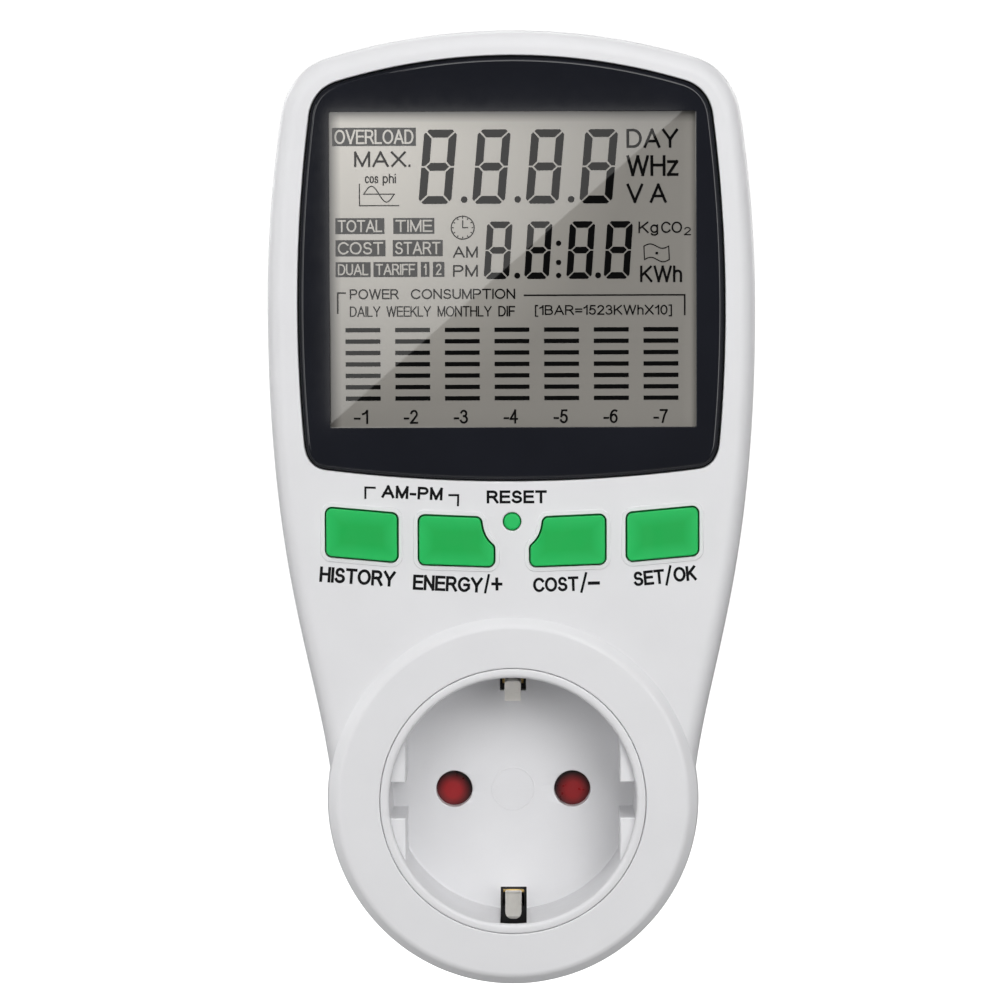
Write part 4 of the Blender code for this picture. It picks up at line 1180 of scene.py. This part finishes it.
def finishes():
    table = {
        "white_plastic": WHITE,
        "grey_plastic": surface("grey_moulding", (0.42, 0.43, 0.44), 0.5, grain=0.005),
        "black_plastic": BLACK,
        "black_gloss": GLOSS_BLACK,
        "green_plastic": GREEN,
        "red_plastic": RED,
        "rubber": surface("silicone", (0.55, 0.56, 0.55), 0.75, mottle=0.06, grain=0.004),
        "lcd_glass": REFLECTOR,
        "light_guide": surface("light_guide_white", (0.85, 0.86, 0.84), 0.25),
        "board": surface(
            "solder_mask", (0.02, 0.20, 0.07), 0.35, mottle=0.35, mottle_scale=700, grain=0.01
        ),
        "nickel": NICKEL,
        "brass": surface("brass", (0.72, 0.52, 0.22), 0.28, 1.0, 0.1, 400, 0.002),
        "steel": STEEL,
        "manganin": surface("manganin", (0.62, 0.42, 0.28), 0.38, 1.0, 0.1, 400, 0.002),
        "capacitor_yellow": surface("capacitor_case", (0.80, 0.56, 0.05), 0.35, grain=0.004),
        "capacitor_black": surface("capacitor_sleeve", (0.02, 0.02, 0.04), 0.3, mottle=0.2),
        "varistor_blue": surface(
            "epoxy_blue", (0.02, 0.10, 0.38), 0.3, mottle=0.2, grain=0.02, grain_scale=900
        ),
        "wire_brown": surface("wire_brown_skin", (0.18, 0.07, 0.025), 0.45),
        "wire_blue": surface("wire_blue_skin", (0.02, 0.09, 0.38), 0.45),
        "ceramic": surface("ceramic", (0.60, 0.58, 0.53), 0.6, mottle=0.1, grain=0.01),
    }
    for part in frame["record"]["subparts"]:
        node = frame["nodes"][part["node"]]
        node.data.materials.clear()
        node.data.materials.append(table[part["material_slot"]])


# Stage: a pale floor that curves up, soft lights, and the camera.

LIT_MIDDLE = (0, -45, 45)
CAMERA_PLACE = (2.75, -794.7, 88.3)
CAMERA_TURN = (90 - 3.158, 0.2, 0.348)
FLOOR_GLOW, CARD_GLOW, WORLD_GLOW = 1.0, 2.2, 0.09


def on_stage(obj):
    """Leave an object of the stage out of the light that falls on the part."""
    obj.visible_diffuse = False
    obj.visible_transmission = False
    obj.visible_shadow = False


def floor():
    low, flat, bend, high = -120.0, 2200.0, 900.0, 3200.0
    profile = [(flat, low)]
    profile += [(flat + bend * (1 - b), low + bend * a) for a, b in quarter(12)[1:]]
    profile.append((flat + bend, high))
    bm = bmesh.new()
    loops = []
    for r, z in profile:
        loops.append([bm.verts.new(Vector((u, v, z)) * MM) for u, v in circle(r, 96)])
    skin(bm, loops)
    bm.faces.new(loops[0])
    material = surface("pale_floor", (0.90, 0.90, 0.90), 0.7, mottle=0.01, mottle_scale=3)
    shader = shader_of(material)
    shader.inputs["Emission Color"].default_value = (1.0, 1.0, 1.0, 1.0)
    shader.inputs["Emission Strength"].default_value = FLOOR_GLOW
    obj = finish_mesh("floor", bm, material)
    obj.visible_glossy = False
    on_stage(obj)


def soft_light(name, place, size, power):
    """A rectangular light, its place and size in millimetres, aimed at the middle of the part."""
    data = bpy.data.lights.new(name, "AREA")
    data.shape = "RECTANGLE"
    data.size, data.size_y = size[0] * MM, size[1] * MM
    data.energy = power
    obj = placed(name, data)
    obj.location = Vector(place) * MM
    way = Vector(LIT_MIDDLE) - Vector(place)
    obj.rotation_euler = way.to_track_quat("-Z", "Y").to_euler()


def glare_card():
    """A lit card that shows only as a reflection across the upper left of the display."""
    # Grown about the camera's axis by the ratio of the card's distance to the display's.
    middle, grow, depth = (CAMERA_PLACE[0], CAMERA_PLACE[2]), 1.47, -401.0
    left, right, low, top = VIEW_LIMITS
    corners = [(left - 0.2, low + 0.4), (right - 1.8, top + 0.2), (left - 0.2, top + 0.2)]
    corners = [[f + (c - f) * grow for c, f in zip(p, middle)] for p in corners]
    bm = bmesh.new()
    bm.faces.new([bm.verts.new(Vector((x, depth, z)) * MM) for x, z in corners])
    material = bpy.data.materials.new("card_light")
    material.use_nodes = True
    tree, shader = material.node_tree, shader_of(material)
    shader.inputs["Base Color"].default_value = (0.0, 0.0, 0.0, 1.0)
    shader.inputs["Emission Color"].default_value = (1.0, 0.99, 0.97, 1.0)
    bright_corner = (corners[2][0], depth, corners[2][1])
    reach = distance_from(tree, object_coords(tree), bright_corner)
    glow = spread(tree, reach, CARD_GLOW, CARD_GLOW * 0.5, 0.0, 95 * MM)
    link(tree, glow, shader.inputs["Emission Strength"])
    card = finish_mesh("glare_card", bm, material)
    card.visible_camera = False
    on_stage(card)


def lights():
    world = bpy.data.worlds.new("studio")
    bpy.context.scene.world = world
    world.use_nodes = True
    background = world.node_tree.nodes["Background"]
    background.inputs["Color"].default_value = (1.0, 1.0, 1.0, 1.0)
    background.inputs["Strength"].default_value = WORLD_GLOW
    soft_light("key_light", (150, -880, 500), (500, 400), 2.6)
    soft_light("top_light", (60, -520, 850), (500, 400), 1.7)
    soft_light("left_light", (-400, -880, 220), (500, 500), 1.95)
    soft_light("right_light", (400, -900, 160), (500, 500), 2.6)
    soft_light("side_light", (-900, -150, 200), (500, 600), 2.4)
    soft_light("low_light", (0, -700, -560), (700, 400), 0.35)
    soft_light("back_left_light", (-750, 700, 350), (500, 600), 4.0)
    soft_light("back_right_light", (750, 700, 350), (500, 600), 4.0)
    soft_light("back_top_light", (0, 500, 800), (600, 500), 2.5)


def camera():
    data = bpy.data.cameras.new("camera")
    data.lens = 169.5
    data.sensor_width = 36.0
    data.clip_start = 0.01
    obj = placed("camera", data)
    obj.location = Vector(CAMERA_PLACE) * MM
    obj.rotation_euler = [math.radians(angle) for angle in CAMERA_TURN]
    bpy.context.scene.camera = obj
    bpy.context.scene.view_settings.view_transform = "Standard"


camera()
finishes()
shell_front()
shell_rear()
window()
display_glass()
display_marks()
keys()
legends()
socket()
shutter()
earth_parts()
plug()
floor()
glare_card()
lights()
